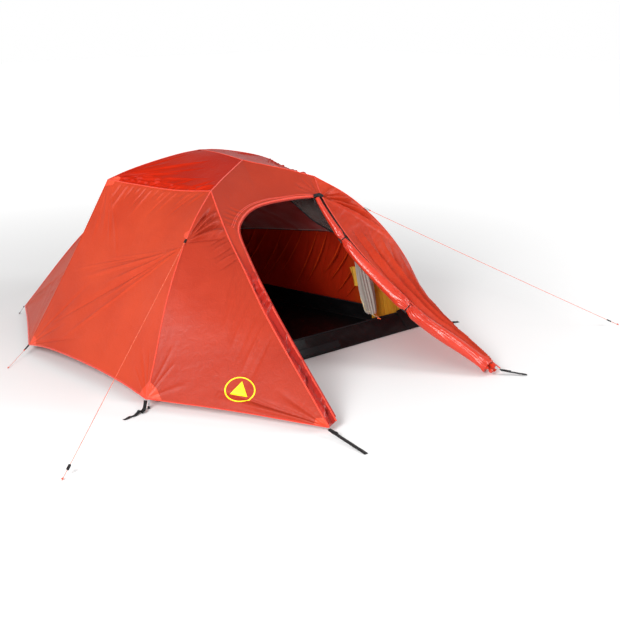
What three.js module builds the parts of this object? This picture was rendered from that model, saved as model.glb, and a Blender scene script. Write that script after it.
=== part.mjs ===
// Three-person backpacking tent, pitched, with its front door rolled back.
// Millimetres, +Z up. The door faces -Y and +X is to the right of somebody looking in.
// The origin is on the ground, at the middle of the tent with its corner straps.
import * as THREE from 'three';

// ---------------------------------------------------------------- driving dimensions
const FLY_CLOTH = 3;          // thickness that stands for the sewn cloth
const SEAM_GAP = 5;           // each panel stops this far short of its seam line
const POLE_RADIUS = 4.5;
const LEG_INSET = 20;         // pole centreline below the fly's ridge
const SPINE_INSET = 34;
const BROW_INSET = 17;
const BROW_FORWARD = 18;      // the brow pole runs this far in front of its seam
const WEBBING = { width: 20, thick: 1.6 };
const GUY_RADIUS = 1.5;
const CORD_RADIUS = 1.25;
const CORD_SIDES = 8;
const INSIDE = new THREE.Vector3(0, 300, 300);   // a point inside the tent

const v = (x, y, z) => new THREE.Vector3(x, y, z);
const mirrored = (p) => v(-p.x, p.y, p.z);

// The front legs stand in upright planes that fan out from the front hub.
const HUB = v(0, 35, 1188);
const FRONT_FOOT = v(-1200, -575, 66);
const LEG_DIRECTION = v(FRONT_FOOT.x - HUB.x, FRONT_FOOT.y - HUB.y, 0).normalize();
const onLeg = (run, z) => v(LEG_DIRECTION.x * run, HUB.y + LEG_DIRECTION.y * run, z);

// Fly corners and seam meetings, left side. The right side mirrors them.
const SHOULDER = onLeg(468, 1066);               // where the roof seam meets the leg
const BROW_TIP = v(-665, 544, 1078);
const CREST = v(0, 473, 1209);                   // brow pole over the spine
const SIDE_PULL = v(-1160, 770, 55);
const REAR_CORNER = v(-710, 1633, 52);
const REAR_FOOT = v(0, 1745, 55);
const REAR_PEAK = v(0, 1172, 948);               // where the rear creases meet the spine
const PORCH_CORNER = v(-705, -1500, 35);
const DOOR_TOP_LEFT = v(-390, -394, 859);
const DOOR_TOP_RIGHT = v(378, -258, 956);
const DOOR_FOOT = v(-632, -1476, 44);

// Where the corner straps and cords reach the ground.
const FRONT_STRAP_END = v(-1381, -615, 0);
const PORCH_STRAP = {
  start: v(-708, -1512, 22),
  end: v(-756, -1819, 2),
  buckleAt: 30,
  buckleLength: 18,
  buckleHalf: [15, 5],
  slotHalf: [11.5, 2],
};
const SLACK_STRAP_LENGTH = 150;
const REAR_STRAP_END = 1820;
const SIDE_CORD_END = v(-1416, 580, CORD_RADIUS + 0.2);
const REAR_CORD_END = v(-774, 1618, CORD_RADIUS + 0.2);
const GUY_POINT = onLeg(801, 848);
const GUY_END_LEFT = v(-2023, -1076, GUY_RADIUS + 0.2);
const GUY_END_RIGHT = v(2119, -1417, GUY_RADIUS + 0.2);
const GUY_LOOP = { start: 8, length: 34, width: 10 };
const TENSIONER = { length: 32, width: 12, thick: 8, hole: 2.7, fromEnd: 62 };
const SIDE_TAB = { length: 62, width: 12 };

// Inner tent. The lip is the top edge of the waterproof tub.
const FLOOR = { front: -515, rear: 1590, frontHalf: 1000, rearHalf: 665, thick: 4 };
const LIP = { front: -458, rear: 1568, frontHalf: 955, rearHalf: 645, height: 120 };
const INNER_CLOTH = 3;
const INNER_GAP = 9;
const GATHERED_DOOR = { thin: 26, swell: 20 };
const INNER_TOGGLE = { radius: 3.5, length: 20, place: v(655, -545, 150) };

const COLOURS = {
  shell: 0xd8452a,
  shellDark: 0xb02a12,
  bright: 0xf0734b,
  roll: 0xe14a2f,
  pole: 0x9aa0a6,
  plastic: 0x1a1a1c,
  webbing: 0x16161a,
  orange: 0xeb6e3c,
  floor: 0x111114,
  yellow: 0xb98f28,
  mesh: 0x8f8a84,
};

// ---------------------------------------------------------------- materials
const fabric = (color) => new THREE.MeshStandardMaterial({ color, roughness: 0.75, metalness: 0 });
const plastic = (color) => new THREE.MeshStandardMaterial({ color, roughness: 0.45, metalness: 0 });
const metal = (color) => new THREE.MeshStandardMaterial({ color, roughness: 0.3, metalness: 0.9 });

// ---------------------------------------------------------------- curves
class Line {
  constructor(points) {
    this.curve = new THREE.CatmullRomCurve3(points, false, 'centripetal');
  }

  at(t) {
    return this.curve.getPointAt(Math.min(1, Math.max(0, t)));
  }

  reversed() {
    return new Line([...this.curve.points].reverse());
  }

  mirror() {
    return new Line(this.curve.points.map(mirrored));
  }

  // The same route, moved `inset` towards the inside of the tent within its own plane.
  inset(inset, steps, sideways) {
    const moved = [];
    for (let i = 0; i <= steps; i += 1) {
      const point = this.at(i / steps);
      const tangent = this.curve.getTangentAt(i / steps);
      const normal = new THREE.Vector3().crossVectors(tangent, sideways).normalize();
      if (normal.dot(INSIDE.clone().sub(point)) < 0) normal.negate();
      moved.push(point.addScaledVector(normal, inset));
    }
    return new Line(moved);
  }
}

// A route over several lines, end to end, each taking an equal share of 0 to 1.
function chain(...lines) {
  return {
    at(t) {
      const place = Math.min(t * lines.length, lines.length - 1e-9);
      const which = Math.floor(place);
      return lines[which].at(place - which);
    },
  };
}

// ---------------------------------------------------------------- solids
function mesh(name, geometry, material) {
  const result = new THREE.Mesh(geometry, material);
  result.name = name;
  return result;
}

function signedVolume(points, faces) {
  let volume = 0;
  for (const [a, b, c] of faces) {
    volume += points[a].dot(new THREE.Vector3().crossVectors(points[b], points[c]));
  }
  return volume / 6;
}

function solidFrom(points, faces) {
  const outward = signedVolume(points, faces) > 0;
  const index = faces.flatMap(([a, b, c]) => (outward ? [a, b, c] : [a, c, b]));
  const geometry = new THREE.BufferGeometry();
  const numbers = points.flatMap((p) => p.toArray());
  geometry.setAttribute('position', new THREE.Float32BufferAttribute(numbers, 3));
  geometry.setIndex(index);
  return geometry;
}

// Lets a grid of points settle between its edges, as stretched cloth does.
function settle(grid, nu, nv, passes) {
  const at = (i, j) => grid[j * (nu + 1) + i];
  for (let pass = 0; pass < passes; pass += 1) {
    for (let j = 1; j < nv; j += 1) {
      for (let i = 1; i < nu; i += 1) {
        const around = at(i - 1, j).clone().add(at(i + 1, j)).add(at(i, j - 1)).add(at(i, j + 1));
        at(i, j).copy(around.multiplyScalar(0.25));
      }
    }
  }
}

// A thin closed sheet with four edges: south and north run along u, west and east along v.
// A ridge is a line along v half way across, which the sheet is stretched over.
function sheet(edges) {
  const { south, north, west, east, ridge } = edges;
  const { nu = 10, nv = 10, thick = FLY_CLOTH, gap = SEAM_GAP, sag = 0, taut = 0 } = edges;
  const patch = (from, to, left, right) => (u, w) => {
    const low = (share) => south.at(from + (to - from) * share);
    const high = (share) => north.at(from + (to - from) * share);
    const point = low(u).multiplyScalar(1 - w).addScaledVector(high(u), w);
    point.addScaledVector(left.at(w), 1 - u).addScaledVector(right.at(w), u);
    point.addScaledVector(low(0), -(1 - u) * (1 - w)).addScaledVector(low(1), -u * (1 - w));
    point.addScaledVector(high(0), -(1 - u) * w).addScaledVector(high(1), -u * w);
    return point;
  };
  const whole = patch(0, 1, west, east);
  const halves = ridge && [patch(0, 0.5, west, ridge), patch(0.5, 1, ridge, east)];
  const surface = (u, w) => {
    if (!ridge) return whole(u, w);
    return u < 0.5 ? halves[0](2 * u, w) : halves[1](2 * u - 1, w);
  };
  const trimmed = (share, length) => {
    const cut = Math.min(0.2, gap / Math.max(length, 1));
    return cut + share * (1 - 2 * cut);
  };
  const outer = [];
  for (let j = 0; j <= nv; j += 1) {
    for (let i = 0; i <= nu; i += 1) {
      const u = trimmed(i / nu, west.at(j / nv).distanceTo(east.at(j / nv)));
      const w = trimmed(j / nv, south.at(i / nu).distanceTo(north.at(i / nu)));
      outer.push(surface(u, w));
    }
  }
  settle(outer, nu, nv, taut);
  const at = (i, j) => outer[j * (nu + 1) + i];
  const inner = [];
  for (let j = 0; j <= nv; j += 1) {
    for (let i = 0; i <= nu; i += 1) {
      const alongU = at(Math.min(i + 1, nu), j).clone().sub(at(Math.max(i - 1, 0), j));
      const alongV = at(i, Math.min(j + 1, nv)).clone().sub(at(i, Math.max(j - 1, 0)));
      const normal = new THREE.Vector3().crossVectors(alongU, alongV).normalize();
      if (normal.dot(INSIDE.clone().sub(at(i, j))) < 0) normal.negate();
      const belly = sag * Math.sin((Math.PI * i) / nu) * Math.sin((Math.PI * j) / nv);
      at(i, j).addScaledVector(normal, belly);
      inner.push(at(i, j).clone().addScaledVector(normal, thick));
    }
  }
  const faces = [];
  const quad = (a, b, c, d) => faces.push([a, b, c], [a, c, d]);
  const below = outer.length;
  const id = (i, j) => j * (nu + 1) + i;
  for (let j = 0; j < nv; j += 1) {
    for (let i = 0; i < nu; i += 1) {
      quad(id(i, j), id(i + 1, j), id(i + 1, j + 1), id(i, j + 1));
      quad(below + id(i, j), below + id(i, j + 1), below + id(i + 1, j + 1), below + id(i + 1, j));
    }
  }
  const rim = [];
  for (let i = 0; i < nu; i += 1) rim.push(id(i, 0));
  for (let j = 0; j < nv; j += 1) rim.push(id(nu, j));
  for (let i = nu; i > 0; i -= 1) rim.push(id(i, nv));
  for (let j = nv; j > 0; j -= 1) rim.push(id(0, j));
  rim.forEach((a, k) => {
    const b = rim[(k + 1) % rim.length];
    quad(b, a, a + below, b + below);
  });
  return solidFrom([...outer, ...inner], faces);
}

// A closed bundle: rings of the given radius along a route, capped at both ends.
function loft(routeAt, radiusAt, steps, sides) {
  const points = [];
  const faces = [];
  let side = new THREE.Vector3(1, 0, 0);
  for (let i = 0; i <= steps; i += 1) {
    const t = i / steps;
    const ahead = routeAt(Math.min(1, t + 0.01)).sub(routeAt(Math.max(0, t - 0.01))).normalize();
    side = side.addScaledVector(ahead, -side.dot(ahead)).normalize();
    const up = new THREE.Vector3().crossVectors(ahead, side);
    for (let k = 0; k < sides; k += 1) {
      const angle = (2 * Math.PI * k) / sides;
      const rim = routeAt(t).addScaledVector(side, radiusAt(t) * Math.cos(angle));
      points.push(rim.addScaledVector(up, radiusAt(t) * Math.sin(angle)));
    }
  }
  for (let i = 0; i < steps; i += 1) {
    for (let k = 0; k < sides; k += 1) {
      const [a, b] = [i * sides + k, i * sides + ((k + 1) % sides)];
      faces.push([a, b, b + sides], [a, b + sides, a + sides]);
    }
  }
  const last = steps * sides;
  for (let k = 1; k + 1 < sides; k += 1) {
    faces.push([0, k + 1, k], [last, last + k, last + k + 1]);
  }
  return solidFrom(points, faces);
}

function mirrorEdges(edges) {
  const flip = (line) => (line.mirror ? line.mirror() : { at: (t) => mirrored(line.at(t)) });
  const { south, north, west, east } = edges;
  return { ...edges, south: flip(south), north: flip(north), west: flip(west), east: flip(east) };
}

function rectangle(halfX, halfY) {
  const corners = [[-halfX, -halfY], [halfX, -halfY], [halfX, halfY], [-halfX, halfY]];
  return corners.map(([x, y]) => new THREE.Vector2(x, y));
}

function circle(radius, sides) {
  const shape = new THREE.Shape();
  for (let i = 0; i < sides; i += 1) {
    const angle = (2 * Math.PI * (i + 0.5)) / sides;
    const [x, y] = [radius * Math.cos(angle), radius * Math.sin(angle)];
    if (i === 0) shape.moveTo(x, y);
    else shape.lineTo(x, y);
  }
  shape.closePath();
  return shape;
}

function tube(curve, radius, steps, sides = 8) {
  return new THREE.ExtrudeGeometry(circle(radius, sides), { steps, bevelEnabled: false, extrudePath: curve });
}

// Webbing or a plate seen edge-on: a side profile thickened and extruded to its width.
function ribbon(profile, thick, width) {
  const upper = [];
  const lower = [];
  profile.forEach(([x, z], i) => {
    const [px, pz] = profile[Math.max(i - 1, 0)];
    const [nx, nz] = profile[Math.min(i + 1, profile.length - 1)];
    const length = Math.hypot(nx - px, nz - pz);
    const [ox, oz] = [(-(nz - pz) / length) * thick * 0.5, ((nx - px) / length) * thick * 0.5];
    upper.push([x + ox, z + oz]);
    lower.unshift([x - ox, z - oz]);
  });
  const shape = new THREE.Shape([...upper, ...lower].map(([x, z]) => new THREE.Vector2(x, z)));
  const geometry = new THREE.ExtrudeGeometry(shape, { depth: width, bevelEnabled: false });
  geometry.translate(0, 0, -width / 2);
  geometry.rotateX(Math.PI / 2);
  return geometry;
}

// Places a ribbon or buckle so that its own +X runs from `from` towards `to`, level side up.
function aim(object, from, to) {
  const ahead = to.clone().sub(from).normalize();
  const side = new THREE.Vector3().crossVectors(v(0, 0, 1), ahead).normalize();
  const up = new THREE.Vector3().crossVectors(ahead, side);
  object.quaternion.setFromRotationMatrix(new THREE.Matrix4().makeBasis(ahead, side, up));
  object.position.copy(from);
  return object;
}

// ---------------------------------------------------------------- fly seams
const legUpper = new Line([HUB, onLeg(130, 1156), onLeg(290, 1117), SHOULDER]);
const legLower = new Line([
  SHOULDER, onLeg(680, 943), onLeg(850, 803), onLeg(980, 665), onLeg(1100, 500), onLeg(1230, 260), FRONT_FOOT,
]);
const spineFront = new Line([HUB, v(0, 160, 1201), v(0, 310, 1210), CREST]);
const spineRear = new Line([
  CREST, v(0, 725, 1152), v(0, 970, 1058), v(0, 1200, 930), v(0, 1400, 735), v(0, 1560, 490), v(0, 1680, 240),
  REAR_FOOT,
]);
const brow = new Line([BROW_TIP, v(-530, 527, 1121), v(-310, 500, 1171), v(-120, 478, 1202), CREST]);
const roofSeam = new Line([BROW_TIP, v(-600, 362, 1064), v(-505, 60, 1052), SHOULDER]);
const sideRidge = new Line([BROW_TIP, v(-908, 655, 560), SIDE_PULL]);
const sideHem = new Line([SIDE_PULL, v(-1165, 538, 90), v(-1165, 46, 98), v(-1172, -300, 82), FRONT_FOOT]);
const rearSideHem = new Line([SIDE_PULL, v(-930, 1200, 72), REAR_CORNER]);
const rearHem = new Line([REAR_CORNER, v(-360, 1680, 72), REAR_FOOT]);
const spineToCrease = new Line([CREST, v(0, 725, 1152), v(0, 970, 1058), REAR_PEAK]);
const creaseToFoot = new Line([REAR_PEAK, v(0, 1400, 735), v(0, 1560, 490), v(0, 1680, 240), REAR_FOOT]);
const rearCrease = new Line([REAR_CORNER, v(-375, 1400, 540), v(-24, 1180, 925)]);
const porchRidge = new Line([
  SHOULDER, v(-477, -388, 863), v(-545, -640, 680), v(-612, -890, 498), PORCH_CORNER,
]);
const porchHem = new Line([FRONT_FOOT, v(-960, -1000, 56), PORCH_CORNER]);
const doorEdge = new Line([DOOR_TOP_LEFT, v(-470, -600, 708), v(-548, -912, 480), DOOR_FOOT]);
const doorTop = new Line([
  DOOR_TOP_LEFT, v(-307, -328, 907), v(-196, -278, 943), v(-75, -255, 960), v(187, -247, 965), DOOR_TOP_RIGHT,
]);
// With its door rolled away the right-hand ridge of the porch hangs slack.
const slackRidge = new Line([
  mirrored(SHOULDER), v(400, -268, 950), v(442, -520, 672), v(512, -780, 452), v(572, -1010, 290),
  v(640, -1270, 162), mirrored(PORCH_CORNER),
]);

// ---------------------------------------------------------------- fly
function fly() {
  const group = new THREE.Group();
  const roof = {
    south: roofSeam.reversed(), north: spineFront, west: legUpper.reversed(), east: brow,
    nu: 6, nv: 6, sag: 4,
  };
  const wall = {
    south: sideHem.reversed(), north: roofSeam.reversed(),
    west: legLower.reversed(), east: sideRidge.reversed(),
    nu: 8, nv: 12, sag: 22,
  };
  const rear = {
    south: rearSideHem, north: chain(brow, spineToCrease), west: sideRidge.reversed(), east: rearCrease,
    nu: 12, nv: 10, taut: 80,
  };
  const porch = {
    south: porchHem, north: new Line([onLeg(520, 1036), v(-455, -250, 965)]), west: legLower.reversed(),
    east: porchRidge.reversed(), nu: 6, nv: 12, sag: 10,
  };
  const slackPorch = { ...mirrorEdges(porch), east: slackRidge.reversed(), sag: 14 };
  const panels = [
    ['roof', roof, mirrorEdges(roof), COLOURS.shellDark],
    ['wall', wall, mirrorEdges(wall), COLOURS.shell],
    ['rear', rear, mirrorEdges(rear), COLOURS.shell],
    ['porch', porch, slackPorch, COLOURS.shell],
  ];
  for (const [name, left, right, colour] of panels) {
    group.add(mesh(`fly_${name}_left`, sheet(left), fabric(colour)));
    group.add(mesh(`fly_${name}_right`, sheet(right), fabric(colour)));
  }
  const end = {
    south: chain(rearHem, rearHem.mirror().reversed()),
    north: new Line([v(-24, 1180, 925), REAR_PEAK, v(24, 1180, 925)]),
    west: rearCrease,
    east: rearCrease.mirror(),
    ridge: creaseToFoot.reversed(),
    nu: 10, nv: 12,
  };
  group.add(mesh('fly_rear_end', sheet(end), fabric(COLOURS.shell)));
  const awning = {
    south: doorTop,
    north: chain(legUpper.reversed(), legUpper.mirror()),
    west: new Line([DOOR_TOP_LEFT, v(-440, -300, 925), SHOULDER]),
    east: new Line([DOOR_TOP_RIGHT, v(395, -215, 998), mirrored(SHOULDER)]),
    nu: 12, nv: 5,
  };
  group.add(mesh('fly_awning', sheet(awning), fabric(COLOURS.shell)));
  const band = {
    south: new Line([PORCH_CORNER, DOOR_FOOT]),
    north: new Line([v(-448, -330, 906), DOOR_TOP_LEFT]),
    west: new Line([PORCH_CORNER, v(-612, -890, 498), v(-545, -640, 680), v(-448, -330, 906)]),
    east: doorEdge.reversed(),
    nu: 2, nv: 10,
  };
  group.add(mesh('fly_door_band', sheet(band), fabric(COLOURS.bright)));
  return group;
}

// The door is rolled up along the slack ridge and held by two toggles.
const ROLL = { from: 0.09, to: 0.93, shift: v(-36, -8, -24), thin: 20, full: 36 };
const TOGGLE = { radius: 4, length: 26, clearance: 3, side: v(-1, -0.3, -0.4) };

function rollCentre(t) {
  return slackRidge.at(ROLL.from + t * (ROLL.to - ROLL.from)).add(ROLL.shift);
}

function rolledDoor() {
  const group = new THREE.Group();
  const radiusAt = (t) => ROLL.thin + (ROLL.full - ROLL.thin) * Math.min(1, t * 1.6);
  group.add(mesh('rolled_door', loft(rollCentre, radiusAt, 22, 10), fabric(COLOURS.roll)));
  for (const [name, t] of [['door_toggle_upper', 0.2], ['door_toggle_lower', 0.615]]) {
    const centre = rollCentre(t);
    const ahead = rollCentre(t + 0.02).sub(rollCentre(t - 0.02)).normalize();
    const outward = TOGGLE.side.clone().addScaledVector(ahead, -ahead.dot(TOGGLE.side)).normalize();
    const barrel = new THREE.CapsuleGeometry(TOGGLE.radius, TOGGLE.length, 3, 8);
    const toggle = mesh(name, barrel, plastic(COLOURS.plastic));
    toggle.quaternion.setFromUnitVectors(v(0, 1, 0), ahead);
    toggle.position.copy(centre).addScaledVector(outward, radiusAt(t) + TOGGLE.radius + TOGGLE.clearance);
    group.add(toggle);
  }
  return group;
}

// The door zip's slider is parked where the top edge meets the roll. Its pull hangs below it.
const ZIP = { slider: v(330, -268, 938), pull: v(330, -276, 918), pullWidth: 7, pullThick: 2, pullLength: 30 };

function doorZip() {
  const group = new THREE.Group();
  const slider = mesh('door_zip_slider', new THREE.BoxGeometry(14, 10, 8), plastic(COLOURS.plastic));
  slider.position.copy(ZIP.slider);
  const plate = new THREE.BoxGeometry(ZIP.pullWidth, ZIP.pullThick, ZIP.pullLength);
  const pull = mesh('door_zip_pull', plate, plastic(COLOURS.plastic));
  pull.position.copy(ZIP.pull);
  group.add(slider, pull);
  return group;
}

// ---------------------------------------------------------------- poles
const HUB_ARM = { length: 38, halfWidth: 9, thick: 14, drop: 32 };
const POLE_START = 52;         // from the hub's centre to the end of each pole
const TIP = { radius: 7, height: 14 };

function hubShape(angles) {
  const shape = new THREE.Shape();
  const points = [];
  angles.forEach((angle, i) => {
    const next = i + 1 < angles.length ? angles[i + 1] : angles[0] + 2 * Math.PI;
    const along = new THREE.Vector2(Math.cos(angle), Math.sin(angle));
    const across = new THREE.Vector2(-along.y, along.x);
    const tip = along.clone().multiplyScalar(HUB_ARM.length);
    points.push(tip.clone().addScaledVector(across, -HUB_ARM.halfWidth));
    points.push(tip.clone().addScaledVector(across, HUB_ARM.halfWidth));
    const between = (next - angle) / 2;
    const crotch = HUB_ARM.halfWidth / Math.sin(between);
    const halfWay = angle + between;
    points.push(new THREE.Vector2(crotch * Math.cos(halfWay), crotch * Math.sin(halfWay)));
  });
  shape.setFromPoints(points);
  return shape;
}

function poleTip(name, x, y) {
  const { radius, height } = TIP;
  const profile = [[0, 0], [radius, 0], [radius, height - 4], [radius - 2, height], [0, height]];
  const geometry = new THREE.LatheGeometry(profile.map(([r, z]) => new THREE.Vector2(r, z)), 12);
  geometry.rotateX(Math.PI / 2);
  const tip = mesh(name, geometry, plastic(COLOURS.plastic));
  tip.position.set(x, y, 0);
  return tip;
}

function poles() {
  const group = new THREE.Group();
  const leg = chain(legUpper, legLower);
  const legRoute = new Line(Array.from({ length: 25 }, (_, i) => leg.at(i / 24)));
  const across = v(LEG_DIRECTION.y, -LEG_DIRECTION.x, 0);
  const inset = legRoute.inset(LEG_INSET, 24, across);
  const foot = onLeg(1322, TIP.height + 4);
  const startShare = POLE_START / inset.curve.getLength();
  const legPole = new Line([
    ...Array.from({ length: 20 }, (_, i) => inset.at(startShare + (0.95 - startShare) * (i / 19))), foot,
  ]);
  group.add(mesh('pole_leg_left', tube(legPole.curve, POLE_RADIUS, 34), metal(COLOURS.pole)));
  group.add(mesh('pole_leg_right', tube(legPole.mirror().curve, POLE_RADIUS, 34), metal(COLOURS.pole)));
  group.add(poleTip('pole_tip_left', foot.x, foot.y));
  group.add(poleTip('pole_tip_right', -foot.x, foot.y));

  const spine = chain(spineFront, spineRear);
  const spineRoute = new Line(Array.from({ length: 25 }, (_, i) => spine.at(i / 24)));
  const spineInset = spineRoute.inset(SPINE_INSET, 24, v(1, 0, 0));
  const spineShare = POLE_START / spineInset.curve.getLength();
  const rearFoot = v(0, 1712, TIP.height + 4);
  const spinePole = new Line([
    ...Array.from({ length: 20 }, (_, i) => spineInset.at(spineShare + (0.96 - spineShare) * (i / 19))),
    rearFoot,
  ]);
  group.add(mesh('pole_spine', tube(spinePole.curve, POLE_RADIUS, 40), metal(COLOURS.pole)));
  group.add(poleTip('pole_tip_rear', rearFoot.x, rearFoot.y));

  // Near its tips the brow pole keeps clear of the wall and the rear panel, as well as the roof.
  const browHalf = Array.from({ length: 9 }, (_, i) => {
    const t = 0.02 + 0.98 * (i / 9);
    return brow.at(t).add(v(26 * (1 - t), -BROW_FORWARD, -BROW_INSET));
  });
  const browTop = CREST.clone().add(v(0, -BROW_FORWARD, -BROW_INSET));
  const browPole = new Line([...browHalf, browTop, ...browHalf.map(mirrored).reverse()]);
  group.add(mesh('pole_brow', tube(browPole.curve, POLE_RADIUS, 28), metal(COLOURS.pole)));

  const spread = Math.atan2(-LEG_DIRECTION.y, -LEG_DIRECTION.x);
  const arms = hubShape([Math.PI / 2, Math.PI + spread, 2 * Math.PI - spread]);
  const hub = new THREE.ExtrudeGeometry(arms, { depth: HUB_ARM.thick, bevelEnabled: false });
  hub.translate(HUB.x, HUB.y, HUB.z - HUB_ARM.drop - HUB_ARM.thick / 2);
  group.add(mesh('front_hub', hub, plastic(COLOURS.plastic)));

  const gapBelowBrow = SPINE_INSET - BROW_INSET - 2 * POLE_RADIUS;
  const swivel = new THREE.CylinderGeometry(13, 13, gapBelowBrow - 2, 16);
  swivel.rotateX(Math.PI / 2);
  const disc = mesh('brow_swivel', swivel, plastic(COLOURS.plastic));
  disc.position.set(0, CREST.y - BROW_FORWARD, CREST.z - (BROW_INSET + SPINE_INSET) / 2);
  group.add(disc);
  return group;
}

// ---------------------------------------------------------------- inner tent
const floorFront = v(-FLOOR.frontHalf, FLOOR.front, FLOOR.thick + 2);
const floorRear = v(-FLOOR.rearHalf, FLOOR.rear, FLOOR.thick + 2);
const lipFront = v(-LIP.frontHalf, LIP.front, LIP.height);
const lipRear = v(-LIP.rearHalf, LIP.rear, LIP.height);
const wallTopFront = v(-885, -372, 600);
const wallTopRear = v(-330, 1450, 340);
const innerPeak = v(0, 20, 1118);
const innerRearPeak = v(0, 1480, 440);
const doorZipFoot = v(-690, -450, LIP.height + 4);
const doorZipWaist = v(-738, -290, 465);
const cornerWaist = v(-912, -396, 465);

const wallTop = new Line([
  wallTopFront, v(-800, 0, 620), v(-745, 307, 598), v(-575, 850, 545), v(-440, 1180, 440), wallTopRear,
]);
const innerSpine = new Line([
  innerPeak, v(0, 300, 1145), v(0, 560, 1115), v(0, 970, 960), v(0, 1200, 790), v(0, 1380, 590),
  innerRearPeak,
]);
const cornerSeam = new Line([wallTopFront, v(-742, -280, 800), v(-455, -160, 1012), v(-60, 10, 1108)]);
const innerZip = new Line([
  doorZipWaist, v(-628, -210, 638), v(-436, -145, 774), v(-289, -76, 918), v(-60, -8, 1060),
]);

function inner() {
  const group = new THREE.Group();
  const outline = new THREE.Shape([
    new THREE.Vector2(-FLOOR.frontHalf, FLOOR.front), new THREE.Vector2(FLOOR.frontHalf, FLOOR.front),
    new THREE.Vector2(FLOOR.rearHalf, FLOOR.rear), new THREE.Vector2(-FLOOR.rearHalf, FLOOR.rear),
  ]);
  const floor = new THREE.ExtrudeGeometry(outline, { depth: FLOOR.thick, bevelEnabled: false });
  group.add(mesh('tub_floor', floor, fabric(COLOURS.floor)));

  const cloth = { thick: INNER_CLOTH, gap: INNER_GAP };
  const straight = (...points) => new Line(points);
  const lift = (p) => p.clone().setZ(p.z + 2);
  const across = (p, q) => ({
    south: straight(p, mirrored(p)),
    north: straight(q, mirrored(q)),
    west: straight(p, q),
    east: straight(mirrored(p), mirrored(q)),
    ...cloth,
  });
  const tubFront = { ...across(floorFront, lipFront), nu: 4, nv: 1 };
  const tubRear = { ...across(floorRear, lipRear), nu: 3, nv: 1 };
  group.add(mesh('tub_front', sheet(tubFront), fabric(COLOURS.floor)));
  group.add(mesh('tub_rear', sheet(tubRear), fabric(COLOURS.floor)));
  const tubSide = {
    south: straight(floorFront, floorRear),
    north: straight(lipFront, lipRear),
    west: straight(floorFront, lipFront),
    east: straight(floorRear, lipRear),
    ...cloth, nu: 4, nv: 1,
  };
  const side = {
    south: straight(lift(lipFront), lift(lipRear)),
    north: wallTop,
    west: straight(lift(lipFront), cornerWaist, wallTopFront),
    east: straight(lift(lipRear), wallTopRear),
    ...cloth, nu: 10, nv: 4,
  };
  const sideMesh = {
    south: wallTop, north: innerSpine, west: cornerSeam, east: straight(wallTopRear, innerRearPeak),
    ...cloth, nu: 10, nv: 6, sag: 75,
  };
  const frontLower = {
    south: straight(lift(lipFront), doorZipFoot),
    north: straight(cornerWaist, doorZipWaist),
    west: straight(lift(lipFront), cornerWaist),
    east: straight(doorZipFoot, v(-745, -350, 330), doorZipWaist),
    ...cloth, nu: 3, nv: 4,
  };
  const frontMesh = {
    south: straight(cornerWaist, doorZipWaist),
    north: straight(v(-60, 10, 1108), v(-60, -8, 1060)),
    west: straight(cornerWaist, ...cornerSeam.curve.points),
    east: innerZip,
    ...cloth, nu: 3, nv: 10,
  };
  const pairs = [
    ['tub_side', tubSide, COLOURS.floor], ['inner_wall', side, COLOURS.yellow],
    ['inner_mesh', sideMesh, COLOURS.mesh], ['inner_front_lower', frontLower, COLOURS.yellow],
    ['inner_front_mesh', frontMesh, COLOURS.mesh],
  ];
  for (const [name, edges, colour] of pairs) {
    group.add(mesh(`${name}_left`, sheet(edges), fabric(colour)));
    group.add(mesh(`${name}_right`, sheet(mirrorEdges(edges)), fabric(colour)));
  }
  const rear = {
    ...across(lift(lipRear), wallTopRear),
    north: straight(wallTopRear, innerRearPeak, mirrored(wallTopRear)),
    nu: 8, nv: 3,
  };
  group.add(mesh('inner_rear', sheet(rear), fabric(COLOURS.yellow)));

  // The unzipped inner door hangs gathered beside the doorway, in a loop with its own toggle.
  const hang = new Line([v(668, -352, 500), v(650, -420, 360), v(648, -478, 180)]);
  const gathered = (t) => GATHERED_DOOR.thin + GATHERED_DOOR.swell * Math.sin(Math.PI * (0.15 + 0.7 * t));
  group.add(mesh('gathered_inner_door', loft((t) => hang.at(t), gathered, 8, 10), fabric(COLOURS.mesh)));
  const barrel = new THREE.CapsuleGeometry(INNER_TOGGLE.radius, INNER_TOGGLE.length, 3, 8);
  const toggle = mesh('inner_door_toggle', barrel, plastic(COLOURS.orange));
  toggle.position.copy(INNER_TOGGLE.place);
  group.add(toggle);
  return group;
}

// ---------------------------------------------------------------- straps and cords
function strapOnGround(name, from, to, profile) {
  const strap = mesh(name, ribbon(profile, WEBBING.thick, WEBBING.width), fabric(COLOURS.webbing));
  strap.rotation.z = Math.atan2(to.y - from.y, to.x - from.x);
  strap.position.set(from.x, from.y, 0);
  return strap;
}

function porchStrap(side, start, end) {
  const group = new THREE.Group();
  const run = start.distanceTo(end);
  const tucked = 8;
  const strap = new THREE.BoxGeometry(run + tucked, WEBBING.width, WEBBING.thick);
  strap.translate((run - tucked) / 2, 0, 0);
  const webbing = aim(mesh(`porch_strap_${side}`, strap, fabric(COLOURS.webbing)), start, end);
  const { buckleAt, buckleLength, buckleHalf, slotHalf } = PORCH_STRAP;
  const frame = new THREE.Shape(rectangle(...buckleHalf));
  frame.holes.push(new THREE.Path(rectangle(...slotHalf).reverse()));
  const sleeve = new THREE.ExtrudeGeometry(frame, { depth: buckleLength, bevelEnabled: false });
  sleeve.applyMatrix4(new THREE.Matrix4().makeBasis(v(0, 1, 0), v(0, 0, 1), v(1, 0, 0)));
  sleeve.translate(buckleAt, 0, 0);
  const buckle = aim(mesh(`porch_buckle_${side}`, sleeve, plastic(COLOURS.plastic)), start, end);
  group.add(webbing, buckle);
  return group;
}

function cord(name, from, to, radius, steps, colour) {
  return mesh(name, tube(new THREE.LineCurve3(from, to), radius, steps, CORD_SIDES), fabric(colour));
}

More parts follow.
